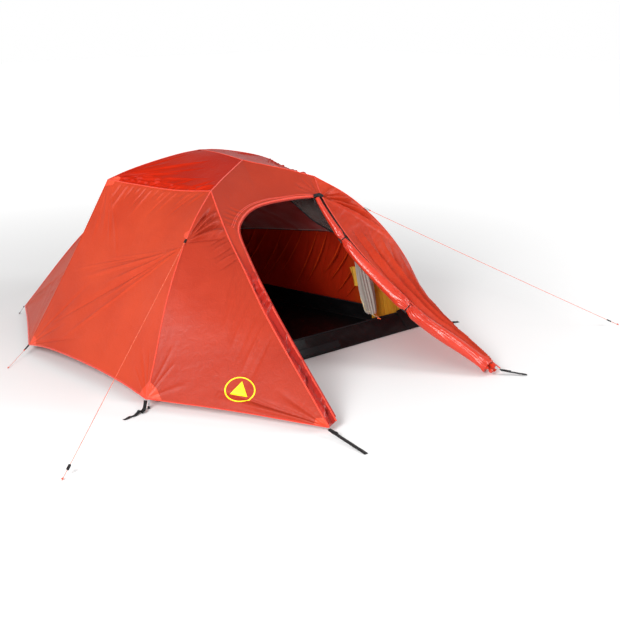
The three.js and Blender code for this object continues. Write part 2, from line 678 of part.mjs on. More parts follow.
function guyline(side, point, end) {
  const group = new THREE.Group();
  const ahead = end.clone().sub(point).normalize();
  const along = (distance) => point.clone().addScaledVector(ahead, distance);
  const tab = new THREE.BoxGeometry(GUY_LOOP.length, GUY_LOOP.width, 2);
  tab.translate(GUY_LOOP.length / 2, 0, 0);
  group.add(aim(mesh(`guy_tab_${side}`, tab, fabric(COLOURS.webbing)), along(GUY_LOOP.start), end));
  const cordStart = along(GUY_LOOP.start + GUY_LOOP.length + 0.5);
  group.add(cord(`guyline_${side}`, cordStart, end, GUY_RADIUS, 24, COLOURS.orange));
  const { length, width, thick, hole, fromEnd } = TENSIONER;
  const outline = new THREE.Shape(rectangle(width / 2, thick / 2));
  outline.holes.push(new THREE.Path(circle(hole, 12).getPoints().reverse()));
  const block = new THREE.ExtrudeGeometry(outline, { depth: length, bevelEnabled: false });
  block.applyMatrix4(new THREE.Matrix4().makeBasis(v(0, 1, 0), v(0, 0, 1), v(1, 0, 0)));
  const place = end.clone().addScaledVector(ahead, -fromEnd - length);
  group.add(aim(mesh(`tensioner_${side}`, block, plastic(COLOURS.plastic)), place, end));
  return group;
}

function rigging() {
  const group = new THREE.Group();
  const frontRun = FRONT_FOOT.distanceTo(FRONT_STRAP_END.clone().setZ(FRONT_FOOT.z)) - 12;
  const frontProfile = [[0, 50], [10, 30], [24, 10], [48, 3], [84, 9], [118, 3], [150, 6], [frontRun, 1]];
  for (const [side, turn] of [['left', (p) => p.clone()], ['right', mirrored]]) {
    const from = turn(v(FRONT_FOOT.x - 12, FRONT_FOOT.y - 3, 0));
    group.add(strapOnGround(`front_strap_${side}`, from, turn(FRONT_STRAP_END), frontProfile));

    const pull = turn(SIDE_PULL.clone().add(v(-8, -6, -2)));
    const sideEnd = turn(SIDE_CORD_END);
    const ahead = sideEnd.clone().sub(pull).normalize();
    const tab = new THREE.BoxGeometry(SIDE_TAB.length, SIDE_TAB.width, WEBBING.thick);
    tab.translate(SIDE_TAB.length / 2, 0, 0);
    group.add(aim(mesh(`side_strap_${side}`, tab, fabric(COLOURS.webbing)), pull, sideEnd));
    const cordStart = pull.clone().addScaledVector(ahead, SIDE_TAB.length + 0.5);
    group.add(cord(`side_cord_${side}`, cordStart, sideEnd, CORD_RADIUS, 14, COLOURS.orange));

    const corner = turn(REAR_CORNER.clone().add(v(-8, 4, -4)));
    group.add(cord(`rear_cord_${side}`, corner, turn(REAR_CORD_END), CORD_RADIUS, 8, COLOURS.webbing));
  }
  const porchEnd = PORCH_STRAP.end;
  group.add(porchStrap('left', PORCH_STRAP.start, porchEnd));
  const rightStart = mirrored(PORCH_STRAP.start);
  const rightEnd = v(783, -1612, 7).sub(rightStart).setLength(SLACK_STRAP_LENGTH).add(rightStart);
  group.add(porchStrap('right', rightStart, rightEnd));
  const rearProfile = [[0, 40], [8, 18], [18, 5], [40, 2], [REAR_STRAP_END - REAR_FOOT.y - 8, 1]];
  group.add(strapOnGround('rear_strap', v(0, REAR_FOOT.y + 8, 0), v(0, REAR_STRAP_END, 0), rearProfile));
  group.add(guyline('left', GUY_POINT, GUY_END_LEFT));
  group.add(guyline('right', mirrored(GUY_POINT), GUY_END_RIGHT));
  return group;
}

const tent = new THREE.Group();
tent.add(fly(), rolledDoor(), doorZip(), poles(), inner(), rigging());
export default tent;
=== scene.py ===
import math

import bpy
import numpy as np
from mathutils import Matrix, Vector


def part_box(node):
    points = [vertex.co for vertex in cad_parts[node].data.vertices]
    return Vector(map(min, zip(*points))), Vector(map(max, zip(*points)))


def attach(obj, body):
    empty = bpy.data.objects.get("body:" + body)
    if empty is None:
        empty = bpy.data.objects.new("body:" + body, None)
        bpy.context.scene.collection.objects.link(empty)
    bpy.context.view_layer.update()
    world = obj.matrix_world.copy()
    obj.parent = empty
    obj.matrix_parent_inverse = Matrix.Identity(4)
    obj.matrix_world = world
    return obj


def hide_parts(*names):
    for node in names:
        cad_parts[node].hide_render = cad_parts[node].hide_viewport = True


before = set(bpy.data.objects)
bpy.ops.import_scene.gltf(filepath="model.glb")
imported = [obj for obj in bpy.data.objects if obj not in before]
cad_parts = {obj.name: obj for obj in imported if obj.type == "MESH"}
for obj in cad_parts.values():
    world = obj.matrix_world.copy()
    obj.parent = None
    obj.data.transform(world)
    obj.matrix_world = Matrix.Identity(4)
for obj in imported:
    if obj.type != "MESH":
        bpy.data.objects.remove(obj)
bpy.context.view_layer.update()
BODY = "tent"


# ------------------------------------------------------------------ camera
CAMERA_SPOT = (-4.430, -5.393, 2.178)
CAMERA_YAW, CAMERA_PITCH = 0.745, 0.274
CAMERA_LENS = 64.92


def make_camera():
    level = math.cos(CAMERA_PITCH)
    ahead = Vector((level * math.sin(CAMERA_YAW), level * math.cos(CAMERA_YAW), -math.sin(CAMERA_PITCH)))
    data = bpy.data.cameras.new("camera")
    data.sensor_width = 36
    data.lens = CAMERA_LENS
    data.clip_end = 60
    camera = bpy.data.objects.new("camera", data)
    camera.location = CAMERA_SPOT
    camera.rotation_euler = ahead.to_track_quat("-Z", "Y").to_euler()
    bpy.context.collection.objects.link(camera)
    bpy.context.scene.camera = camera


make_camera()


# ------------------------------------------------------------------ lines and surfaces
def p(x, y, z):
    """A point given in millimetres, as the CAD states it, in metres."""
    return np.array((x, y, z), float) / 1000


def same(thing):
    return thing


def mirrored(thing):
    """A point, a route, a line or a grid of cloth on the tent's other side. A grid's normals still agree."""
    if isinstance(thing, (Line, Chain)):
        return thing.mirror()
    turned = thing * np.array((-1, 1, 1))
    return turned[:, ::-1] if turned.ndim == 3 else turned


SIDES = (("left", same), ("right", mirrored))


def steps(count, **options):
    """Even shares from 0 to 1."""
    return np.linspace(0, 1, count, **options)


def unit(vectors):
    return vectors / np.maximum(np.linalg.norm(vectors, axis=-1, keepdims=True), 1e-12)


class Line:
    """A centripetal Catmull-Rom curve through its points, read by its share of the length."""

    def __init__(self, *points):
        self.points = [np.array(q, float) for q in points]
        ring = [2 * self.points[0] - self.points[1], *self.points, 2 * self.points[-1] - self.points[-2]]
        parts = []
        s = steps(48)[:, None]
        for a, b, c, d in zip(ring, ring[1:], ring[2:], ring[3:]):
            ab, bc, cd = (max(np.linalg.norm(y - x), 1e-9) ** 0.5 for x, y in ((a, b), (b, c), (c, d)))
            start = bc * ((b - a) / ab - (c - a) / (ab + bc) + (c - b) / bc)
            end = bc * ((c - b) / bc - (d - b) / (bc + cd) + (d - c) / cd)
            square = -3 * b + 3 * c - 2 * start - end
            cube = 2 * b - 2 * c + start + end
            parts.append(b + start * s + square * s**2 + cube * s**3)
        route = np.concatenate([parts[0]] + [part[1:] for part in parts[1:]])
        spans = np.linalg.norm(np.diff(route, axis=0), axis=1)
        run = np.concatenate([[0], np.cumsum(spans)])
        self.route, self.share, self.length = route, run / run[-1], run[-1]

    def at(self, t):
        t = np.clip(np.asarray(t, float), 0, 1)
        return np.stack([np.interp(t, self.share, self.route[:, k]) for k in range(3)], -1)

    def back(self):
        return Line(*self.points[::-1])

    def mirror(self):
        return Line(*[mirrored(q) for q in self.points])


class Chain:
    """Several lines end to end, each with an equal share."""

    def __init__(self, *lines):
        self.lines = lines

    def at(self, t):
        place = np.clip(np.asarray(t, float), 0, 1) * len(self.lines)
        which = np.minimum(place.astype(int), len(self.lines) - 1)
        found = [line.at(place - k) for k, line in enumerate(self.lines)]
        return np.choose(which[..., None], found) if np.ndim(t) else found[int(which)]

    def mirror(self):
        return Chain(*[line.mirror() for line in self.lines])


INSIDE = p(0, 300, 300)
INNER_MIDDLE = p(0, 400, 500)


def coons(south, north, west, east, nu, nv):
    u = steps(nu + 1)
    w = steps(nv + 1)
    low, high, left, right = south.at(u), north.at(u), west.at(w), east.at(w)
    u, w = u[None, :, None], w[:, None, None]
    grid = (1 - w) * low[None] + w * high[None] + (1 - u) * left[:, None] + u * right[:, None]
    grid -= (1 - u) * (1 - w) * low[0] + u * (1 - w) * low[-1] + (1 - u) * w * high[0] + u * w * high[-1]
    return grid


def quad(a, b, c, d, nu, nv):
    """A grid with straight edges: a to b along its foot, c to d along its head."""
    return coons(Line(a, b), Line(c, d), Line(a, c), Line(b, d), nu, nv)


def settle(grid, passes):
    """Lets a grid relax between its edges, as stretched cloth does."""
    for _ in range(passes):
        grid[1:-1, 1:-1] = (grid[:-2, 1:-1] + grid[2:, 1:-1] + grid[1:-1, :-2] + grid[1:-1, 2:]) / 4
    return grid


def normals(grid, inside=INSIDE):
    """Normals that look away from the inside of the tent."""
    along, up = np.gradient(grid, axis=1), np.gradient(grid, axis=0)
    out = unit(np.cross(along, up))
    facing = (out * (inside - grid)).sum(-1)
    if facing.mean() > 0:
        out = -out
    return out


def smooth(low, high, x):
    t = np.clip((x - low) / (high - low), 0, 1)
    return t * t * (3 - 2 * t)


def edge_mask(grid, reach):
    """0 on a grid's edges, rising to 1 within reach metres of them."""
    step_u = np.linalg.norm(np.diff(grid, axis=1), axis=2)
    step_w = np.linalg.norm(np.diff(grid, axis=0), axis=2)
    run_u = np.concatenate([np.zeros((len(grid), 1)), np.cumsum(step_u, 1)], 1)
    run_w = np.concatenate([np.zeros((1, grid.shape[1])), np.cumsum(step_w, 0)], 0)
    near = np.minimum.reduce([run_u, run_u[:, -1:] - run_u, run_w, run_w[-1:] - run_w])
    return smooth(0, reach, near)


def fold(grid, start, end, width, depth, sharp=2.0, fade=(0.12, 0.45)):
    """The height of one fold that runs over a grid from start to end. It narrows towards its start."""
    a, b = np.asarray(start), np.asarray(end)
    run = b - a
    t = ((grid - a) @ run) / (run @ run)
    middle = np.linalg.norm(grid - (a + b) / 2, axis=-1)
    row, column = np.unravel_index(np.argmin(middle), middle.shape)
    row, column = min(max(row, 1), len(grid) - 2), min(max(column, 1), grid.shape[1] - 2)
    out = np.cross(
        grid[row, column + 1] - grid[row, column - 1], grid[row + 1, column] - grid[row - 1, column])
    off = np.abs((grid - a) @ unit(np.cross(run, out)))
    wide = width * (0.35 + 0.65 * np.clip(t, 0, 1))
    taper = smooth(-0.02, fade[0], t) * smooth(1.05, 1 - fade[1], t)
    return depth * taper * np.exp(-((off / wide) ** sharp))


def fan(grid, origin, targets, width, depth, seed, reach=(0.5, 1.0)):
    """Folds of changing width and depth that spread from one point."""
    pick = np.random.default_rng(seed)
    height = np.zeros(grid.shape[:2])
    for target in targets:
        end = origin + (np.asarray(target) - origin) * pick.uniform(*reach)
        sign = pick.choice((-1, 1), p=(0.45, 0.55))
        height += sign * fold(
            grid, origin, end, width * pick.uniform(0.5, 1.3), depth * pick.uniform(0.35, 1.1))
    return height


def crumple(grid, seed, size, depth, octaves=3):
    """Soft uneven relief from sums of waves in random directions."""
    pick = np.random.default_rng(seed)
    height = np.zeros(grid.shape[:2])
    for octave in range(octaves):
        for _ in range(5):
            wave = unit(pick.normal(size=3)) * (2 * math.pi / size) * 2**octave * pick.uniform(0.7, 1.3)
            height += np.sin(grid @ wave + pick.uniform(0, 6.3)) / (5 * 1.8**octave)
    return height * depth


# ------------------------------------------------------------------ meshes
def add_object(name, points, faces, material, uv=None, smooth_shading=True):
    mesh = bpy.data.meshes.new(name)
    mesh.from_pydata([tuple(q) for q in points], [], faces)
    mesh.validate()
    if uv is not None:
        layer = mesh.uv_layers.new(name="UVMap")
        corners = np.empty(len(mesh.loops), int)
        mesh.loops.foreach_get("vertex_index", corners)
        layer.data.foreach_set("uv", np.asarray(uv, float)[corners].ravel())
    mesh.polygons.foreach_set("use_smooth", [smooth_shading] * len(mesh.polygons))
    mesh.update()
    item = bpy.data.objects.new(name, mesh)
    item.data.materials.append(material)
    bpy.context.collection.objects.link(item)
    return item


def grid_uv(grid):
    """Positions over the cloth in metres, so that a weave keeps its size."""
    step_u = np.linalg.norm(np.diff(grid, axis=1), axis=2).mean(0)
    step_w = np.linalg.norm(np.diff(grid, axis=0), axis=2).mean(1)
    u = np.concatenate([[0], np.cumsum(step_u)])
    w = np.concatenate([[0], np.cumsum(step_w)])
    return np.stack(np.meshgrid(u, w), -1)


def cloth(name, grid, out, material, thick=0.0012):
    """A closed sheet whose outer face is the grid."""
    rows, columns = grid.shape[:2]
    count = rows * columns
    number = np.arange(count).reshape(rows, columns)
    a, b, c, d = number[:-1, :-1], number[:-1, 1:], number[1:, 1:], number[1:, :-1]
    quads = np.stack([a, b, c, d], -1).reshape(-1, 4)
    middle = (rows // 2, columns // 2)
    span_u = grid[middle[0], middle[1] + 1] - grid[middle]
    span_w = grid[middle[0] + 1, middle[1]] - grid[middle]
    if np.dot(np.cross(span_u, span_w), out[middle]) < 0:
        quads = quads[:, ::-1]
    rim = np.concatenate([number[0, :], number[1:, -1], number[-1, -2::-1], number[-2:0:-1, 0]])
    sides = np.stack([rim, np.roll(rim, -1), np.roll(rim, -1) + count, rim + count], -1)
    if quads[0, 0] != number[0, 0] or quads[0, 1] != number[0, 1]:
        sides = sides[:, ::-1]
    faces = np.concatenate([quads, quads[:, ::-1] + count, sides[:, ::-1]])
    points = np.concatenate([grid.reshape(-1, 3), (grid - out * thick).reshape(-1, 3)])
    uv = grid_uv(grid).reshape(-1, 2)
    return add_object(name, points, faces.tolist(), material, np.concatenate([uv, uv]))


def tube_faces(count, sides):
    """The sides of a tube of count rings, and its two caps."""
    number = np.arange(count * sides).reshape(count, sides)
    following = np.roll(number, -1, axis=1)
    faces = np.stack([number[:-1], following[:-1], following[1:], number[1:]], -1).reshape(-1, 4).tolist()
    return faces + [number[0][::-1].tolist(), number[-1].tolist()]


def sweep(name, route, material, section, up=None, scale=None):
    """A section of (across, up) points swept along a route. up is the direction of the section's second axis."""
    route = np.asarray(route)
    count = len(route)
    ahead = unit(np.gradient(route, axis=0))
    if up is None:
        up = np.tile((0.0, 0.0, 1.0), (count, 1))
    up = unit(up - (up * ahead).sum(-1, keepdims=True) * ahead)
    across = np.cross(ahead, up)
    section = np.asarray(section, float)
    scale = np.ones(count) if scale is None else np.asarray(scale)
    sized = section[None] * scale[:, None, None]
    points = route[:, None] + sized[..., :1] * across[:, None] + sized[..., 1:] * up[:, None]
    run, around = (
        np.concatenate([[0], np.cumsum(np.linalg.norm(np.diff(part, axis=0), axis=1))]) for part in (route, section))
    uv = np.stack(np.meshgrid(around, run), -1).reshape(-1, 2)[:, ::-1]
    return add_object(name, points.reshape(-1, 3), tube_faces(count, len(section)), material, uv)


def oval(width, height, sides=8):
    angles = np.arange(sides) * 2 * math.pi / sides
    return np.stack([np.cos(angles) * width / 2, np.sin(angles) * height / 2], -1)


def level_axes(ahead, above=(0, 0, 1.0)):
    """A level direction across a run, and the one that points up from it."""
    side = unit(np.cross(ahead, above))
    return side, np.cross(side, ahead)


def flat(width, height):
    """A strap's section: a rectangle with its corners taken off."""
    a, b, c = width / 2, height / 2, height * 0.3
    return [
        (-a, -b + c), (-a + c, -b), (a - c, -b), (a, -b + c), (a, b - c), (a - c, b), (-a + c, b),
        (-a, b - c)]


# ------------------------------------------------------------------ materials
class Nodes:
    """A short way to write a material's nodes."""

    def __init__(self, name):
        self.material = bpy.data.materials.new(name)
        self.material.use_nodes = True
        self.tree = self.material.node_tree
        self.shader = self.tree.nodes["Principled BSDF"]
        self.output = self.tree.nodes["Material Output"]

    def add(self, kind, inputs=None, **settings):
        node = self.tree.nodes.new(kind)
        for key, value in settings.items():
            setattr(node, key, value)
        for key, value in (inputs or {}).items():
            self.put(node.inputs[key], value)
        return node

    def put(self, socket, value):
        if isinstance(value, bpy.types.NodeSocket):
            self.tree.links.new(value, socket)
        elif isinstance(value, bpy.types.Node):
            self.tree.links.new(value.outputs[0], socket)
        else:
            socket.default_value = value

    def set(self, **values):
        for key, value in values.items():
            self.put(self.shader.inputs[key.replace("_", " ")], value)

    def maths(self, operation, a, b=0.0):
        return self.add("ShaderNodeMath", {0: a, 1: b}, operation=operation)

    def place(self, use_uv):
        return self.add("ShaderNodeTexCoord").outputs["UV" if use_uv else "Object"]

    def noise(self, place, scale, detail=3.0, rough=0.5, distortion=0.0):
        inputs = {
            "Vector": place, "Scale": scale, "Detail": detail, "Roughness": rough, "Distortion": distortion}
        return self.add("ShaderNodeTexNoise", inputs).outputs["Fac"]

    def wave(self, place, scale, direction="X", distortion=0.0):
        inputs = {"Vector": place, "Scale": scale, "Distortion": distortion}
        return self.add("ShaderNodeTexWave", inputs, bands_direction=direction).outputs["Fac"]

    def ramp(self, value, stops):
        node = self.add("ShaderNodeValToRGB", {0: value})
        ramp = node.color_ramp
        while len(ramp.elements) < len(stops):
            ramp.elements.new(0.5)
        for element, (spot, colour) in zip(ramp.elements, stops):
            element.position = spot
            element.color = colour if len(colour) == 4 else (*colour, 1)
        return node.outputs["Color"]

    def range(self, value, low, high):
        return self.add("ShaderNodeMapRange", {0: value, 3: low, 4: high}).outputs[0]

    def mix(self, share, a, b, blend="MIX"):
        node = self.add("ShaderNodeMix", data_type="RGBA", blend_type=blend)
        for socket, value in zip((node.inputs[0], node.inputs[6], node.inputs[7]), (share, a, b)):
            self.put(socket, value if not isinstance(value, tuple) or len(value) == 4 else (*value, 1))
        return node.outputs[2]

    def bump(self, height, strength, distance, before=None):
        inputs = {"Height": height, "Strength": strength, "Distance": distance}
        if before is not None:
            inputs["Normal"] = before
        return self.add("ShaderNodeBump", inputs).outputs["Normal"]

    def smooth_step(self, value, low, high):
        inputs = {"Value": value, "From Min": low, "From Max": high}
        return self.add("ShaderNodeMapRange", inputs, interpolation_type="SMOOTHSTEP").outputs[0]


def srgb(r, g, b):
    values = []
    for channel in (r, g, b):
        c = channel / 255
        values.append(c / 12.92 if c <= 0.04045 else ((c + 0.055) / 1.055) ** 2.4)
    return tuple(values)


def shade(colour, factor, lift=0.0):
    """A colour made darker or lighter."""
    return tuple(min(1, c * factor + lift) for c in colour)


def coated_cloth(name, colour, deep, through, through_share=0.3, rough=0.42, sheen=0.06, ripstop=0.006, crease=0.35, gloss=0.4,
                 turns=None):
    """Thin coated ripstop: a glossy haze, a fine grid of thicker threads, and light that comes through it.

    turns gives another colour, which takes over between two places along an axis.
    """
    n = Nodes(name)
    cloth_place, world = n.place(True), n.place(False)
    broad = n.noise(world, 2.2, 4, 0.55)
    tone = n.ramp(broad, [(0.3, deep), (0.62, colour)])
    rib = 1 / ripstop / math.pi
    threads = n.maths(
        "MAXIMUM",
        n.range(n.wave(cloth_place, rib * 0.5, "X"), -9.0, 1.0),
        n.range(n.wave(cloth_place, rib * 0.5, "Y"), -9.0, 1.0),
    )
    threads.use_clamp = True
    base = n.mix(n.maths("MULTIPLY", threads, 0.22), tone, shade(colour, 0.72))
    haze = n.noise(world, 9, 5, 0.6, 0.6)
    base = n.mix(n.range(haze, 0.0, 0.16), base, shade(colour, 1.25, 0.02))
    fine = n.noise(cloth_place, 900, 2, 0.5)
    wrinkle = n.noise(world, 24, 5, 0.55, 1.2)
    normal = n.bump(wrinkle, crease, 0.006)
    normal = n.bump(threads, 0.25, 0.0004, normal)
    normal = n.bump(fine, 0.12, 0.0002, normal)
    if turns:
        axis, low, high, other = turns
        spot = n.add("ShaderNodeSeparateXYZ", {0: n.place(False)})
        base = n.mix(n.smooth_step(spot.outputs[axis], low, high), base, other)
    n.set(Base_Color=base, Normal=normal, Roughness=n.range(haze, rough - 0.08, rough + 0.12))
    n.set(Sheen_Weight=sheen, Sheen_Roughness=0.4, Specular_IOR_Level=gloss)
    n.shader.inputs["Sheen Tint"].default_value = (1, 0.62, 0.55, 1)
    if through_share:
        glow = n.add("ShaderNodeBsdfTranslucent", {"Color": (*through, 1), "Normal": normal})
        blend = n.add("ShaderNodeMixShader", {0: through_share, 1: n.shader.outputs[0], 2: glow.outputs[0]})
        n.put(n.output.inputs["Surface"], blend.outputs[0])
    return n.material


def binding(name, colour, deep, rough=0.5):
    """Folded tape with two rows of stitches along it."""
    n = Nodes(name)
    place, world = n.place(True), n.place(False)
    split = n.add("ShaderNodeSeparateXYZ", {0: place})
    along = n.add("ShaderNodeCombineXYZ", {0: split.outputs[0]})
    stitch = n.range(n.wave(along.outputs[0], 110, "X"), -1.2, 1.6)
    worn = n.noise(world, 30, 4, 0.6)
    base = n.ramp(worn, [(0.25, deep), (0.6, colour)])
    base = n.mix(n.maths("MULTIPLY", n.range(stitch, 0.0, 1.0), 0.25), base, shade(colour, 1.5))
    normal = n.bump(n.noise(world, 160, 3, 0.6), 0.3, 0.001)
    normal = n.bump(stitch, 0.35, 0.0006, normal)
    n.set(
        Base_Color=base, Normal=normal, Roughness=n.range(worn, rough - 0.1, rough + 0.12),
        Sheen_Weight=0.2)
    return n.material


def webbing_material(name, colour, edge):
    """Nylon webbing: a herringbone rib across the strap, rubbed paler at its high spots."""
    n = Nodes(name)
    place, world = n.place(True), n.place(False)
    rib = n.wave(place, 160, "X", 1.5)
    cross = n.wave(place, 120, "DIAGONAL", 0.8)
    worn = n.noise(world, 60, 4, 0.6)
    height = n.maths("ADD", rib, n.maths("MULTIPLY", cross, 0.5))
    base = n.mix(n.range(height, 0.0, 0.7), colour, edge)
    base = n.mix(n.range(worn, 0.0, 0.3), base, shade(edge, 1.6))
    n.set(
        Base_Color=base, Normal=n.bump(height, 0.5, 0.0008), Roughness=n.range(worn, 0.55, 0.8),
        Sheen_Weight=0.05, Specular_IOR_Level=0.25)
    return n.material


def moulded(name, colour, worn_colour, rough=0.38):
    """Moulded plastic: fine grain and paler handling marks."""
    n = Nodes(name)
    world = n.place(False)
    marks = n.noise(world, 120, 5, 0.65)
    grain = n.noise(world, 1400, 2, 0.5)
    base = n.mix(n.range(marks, 0.0, 0.45), colour, worn_colour)
    n.set(
        Base_Color=base, Normal=n.bump(grain, 0.15, 0.0002),
        Roughness=n.range(marks, rough - 0.08, rough + 0.15))
    return n.material


def anodised(name, colour):
    """Drawn aluminium tube, anodised, with fine scratches along it."""
    n = Nodes(name)
    world = n.place(False)
    stretched = n.add("ShaderNodeMapping", {0: world})
    stretched.inputs["Scale"].default_value = (40, 40, 6)
    scratch = n.noise(stretched.outputs[0], 30, 4, 0.7)
    tone = n.noise(world, 6, 3)
    base = n.mix(n.range(tone, 0.0, 0.5), colour, shade(colour, 0.75))
    n.set(
        Base_Color=base, Metallic=0.9, Roughness=n.range(scratch, 0.22, 0.42),
        Normal=n.bump(scratch, 0.08, 0.0003))
    return n.material


def rope(name, colour, fleck):
    """A braided cord with flecks of a paler yarn."""
    n = Nodes(name)
    world = n.place(False)
    braid = n.noise(world, 900, 2, 0.5)
    flecks = n.noise(world, 260, 1, 0.5)
    base = n.mix(n.ramp(flecks, [(0.56, (0, 0, 0)), (0.62, (1, 1, 1))]), colour, fleck)
    base = n.mix(n.range(braid, 0.0, 0.35), base, shade(colour, 0.6))
    n.set(Base_Color=base, Normal=n.bump(braid, 0.5, 0.0006), Roughness=0.62, Sheen_Weight=0.3)
    return n.material


def netting(name, colour, pale, alpha):
    """Insect mesh: woven lines over a see-through ground."""
    n = Nodes(name)
    place, world = n.place(True), n.place(False)
    lines = n.maths("MAXIMUM", n.wave(place, 120, "X"), n.wave(place, 120, "Y"))
    fold_tone = n.noise(world, 14, 4, 0.6)
    base = n.mix(n.range(lines, 0.0, 0.4), colour, pale)
    base = n.mix(n.range(fold_tone, 0.0, 0.35), base, shade(colour, 0.5))
    n.set(Base_Color=base, Normal=n.bump(lines, 0.35, 0.0006), Roughness=0.7, Sheen_Weight=0.3, Alpha=alpha)
    return n.material


def printed(name, colour):
    """Screen-printed ink: a little uneven, with the cloth's grain in it."""
    n = Nodes(name)
    world = n.place(False)
    patch = n.noise(world, 70, 4, 0.6)
    base = n.mix(n.range(patch, 0.0, 0.25), colour, shade(colour, 0.8))
    n.set(
        Base_Color=base, Normal=n.bump(n.noise(world, 900, 2), 0.2, 0.0002),
        Roughness=n.range(patch, 0.45, 0.6))
    return n.material


WALL = coated_cloth("fly_wall_cloth", srgb(212, 74, 40), srgb(198, 62, 32), srgb(225, 60, 20), gloss=0.25)
# Painted shade: the roof is the wall's flysheet cloth, given a deeper red for the shade it takes.
ROOF = coated_cloth(
    "fly_roof_cloth", srgb(216, 46, 16), srgb(198, 36, 11), srgb(225, 44, 10), sheen=0.0, rough=0.32,
    gloss=0.07)
PORCH = coated_cloth("fly_porch_cloth", srgb(194, 62, 36), srgb(178, 52, 30), srgb(215, 55, 18), gloss=0.3)
# Painted light: the right porch panel is the left one's cloth, given a brighter orange for the light that shines
# through it.
SLACK = coated_cloth(
    "fly_slack_cloth", srgb(222, 70, 32), srgb(196, 48, 18), srgb(235, 60, 14), 0.4, crease=0.5)
# Painted shade: the band is the porch's cloth; its deeper red below paints the shade in its ripples, and the porch's
# colour takes over higher up.
BAND = coated_cloth("fly_band_cloth", srgb(190, 34, 16), srgb(156, 18, 6), srgb(220, 40, 10), rough=0.34, crease=0.2, gloss=0.5,
                    turns=("Z", 0.62, 0.80, srgb(198, 62, 36)))
ROLL = coated_cloth(
    "rolled_cloth", srgb(222, 58, 30), srgb(196, 38, 18), srgb(225, 50, 12), 0.12, rough=0.27, sheen=0.12,
    crease=0.5, gloss=0.7)
PIPING = binding("seam_tape", srgb(226, 60, 28), srgb(210, 46, 18))
HEM = binding("hem_tape", srgb(226, 58, 30), srgb(204, 42, 20))
PATCH = coated_cloth("patch_cloth", srgb(230, 76, 44), srgb(218, 66, 36), srgb(225, 60, 20), 0.1)
YELLOW = coated_cloth(
    "inner_cloth", srgb(214, 162, 40), srgb(192, 138, 28), srgb(215, 150, 30), 0.3, rough=0.6)
# Painted light: the inner wall's cloth is yellow; this deep red-brown paints the light that reaches it through the red
# flysheet, and the orange towards the door paints the light that comes straight in there.
INNER_WALL_RED_LIGHT = coated_cloth("inner_wall_cloth", srgb(186, 42, 8), srgb(150, 24, 4), srgb(225, 56, 6), 0.36, rough=0.6, gloss=0.12,
                     sheen=0.0, turns=("Y", 0.0, -0.40, srgb(214, 112, 14)))
TUB = coated_cloth(
    "tub_cloth", srgb(13, 12, 14), srgb(8, 8, 9), (0, 0, 0), 0, rough=0.45, sheen=0.0, gloss=0.25)
TUB_PATCH = coated_cloth(
    "tub_patch_cloth", srgb(24, 24, 27), srgb(18, 18, 20), (0, 0, 0), 0, rough=0.55, sheen=0.0, gloss=0.25)
NET = netting("inner_net", srgb(44, 38, 36), srgb(92, 88, 84), 0.62)
# Painted light: the side net's red paints the light that reaches it through the red flysheet.
NET_IN_RED_LIGHT = netting("inner_side_net", srgb(150, 14, 4), srgb(176, 24, 8), 0.92)
BUNCH = netting("bunched_net", srgb(150, 142, 134), srgb(196, 188, 178), 0.9)
# Painted highlight: the tucks are the inner wall's cloth made a brighter orange for the light that catches them.
TUCK = coated_cloth(
    "wall_tuck_cloth", srgb(216, 70, 14), srgb(190, 50, 8), srgb(235, 70, 8), 0.3, rough=0.6, gloss=0.1,
    sheen=0.0)
CREAM = binding("cream_tape", srgb(214, 200, 160), srgb(180, 162, 118))
WEBBING = webbing_material("black_webbing", srgb(7, 7, 8), srgb(20, 20, 22))
PLASTIC = moulded("black_plastic", srgb(12, 12, 14), srgb(38, 38, 42))
ORANGE = moulded("orange_plastic", srgb(232, 84, 44), srgb(244, 128, 84))
METAL = anodised("pole_tube", (0.62, 0.64, 0.66))
CORD = rope("orange_cord", srgb(226, 70, 22), srgb(242, 150, 104))
DARK_CORD = rope("dark_cord", srgb(46, 26, 22), srgb(110, 70, 60))
INK = printed("yellow_ink", srgb(255, 236, 0))
ZIP = moulded("zip_coil", srgb(190, 34, 18), srgb(120, 16, 8), 0.45)


def settled(item, slot, *nodes, body=BODY):
    """Hides the CAD nodes a piece stands for, and has it ride on its body. Its slot is not used."""
    if nodes:
        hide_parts(*nodes)
    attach(item, body)
    return item


# ------------------------------------------------------------------ cords
HUB = p(0, 35, 1188)
FRONT_FOOT = p(-1200, -575, 66)
LEG = unit((FRONT_FOOT - HUB) * np.array((1, 1, 0)))


def on_leg(run, z):
    """A point on the left leg pole's plane, by its run from the hub and its height, in millimetres."""
    return p(LEG[0] * run, 35 + LEG[1] * run, z)


GUY_POINT = on_leg(801, 848)
GUY_ENDS = {"left": p(-2023, -1076, 1.7), "right": p(2119, -1417, 1.7)}
SIDE_PULL = p(-1160, 770, 55)
SIDE_END = p(-1416, 580, 1.45)
REAR_CORNER = p(-710, 1633, 52)
REAR_END = p(-774, 1618, 1.45)


def cord_curve(name, route, diameter, material):
    data = bpy.data.curves.new(name, "CURVE")
    data.dimensions = "3D"
    data.bevel_depth = diameter / 2
    data.bevel_resolution = 2
    data.use_fill_caps = True
    spline = data.splines.new("POLY")
    spline.points.add(len(route) - 1)
    for spot, place in zip(spline.points, route):
        spot.co = (*place, 1)
    item = bpy.data.objects.new(name, data)
    data.materials.append(material)
    bpy.context.collection.objects.link(item)
    return item


def taut(start, end, sag, count=24):
    t = steps(count)[:, None]
    route = start + (end - start) * t
    route[:, 2] -= (sag * 4 * t * (1 - t))[:, 0]
    return route


def knot(name, centre, ahead, radius, material):
    """A few turns of the cord wrapped tight on itself."""
    t = steps(60)
    angle = t * 2 * math.pi * 3.5
    side = unit(np.cross(ahead, (0.1, 0.2, 1.0)))
    other = np.cross(ahead, side)
    swell = radius * (1.5 + 0.5 * np.sin(t * math.pi))
    route = centre + (t[:, None] - 0.5) * ahead * radius * 7
    route = route + swell[:, None] * (np.cos(angle)[:, None] * side + np.sin(angle)[:, None] * other)
    return sweep(name, route, material, oval(radius * 1.7, radius * 1.7, 8))


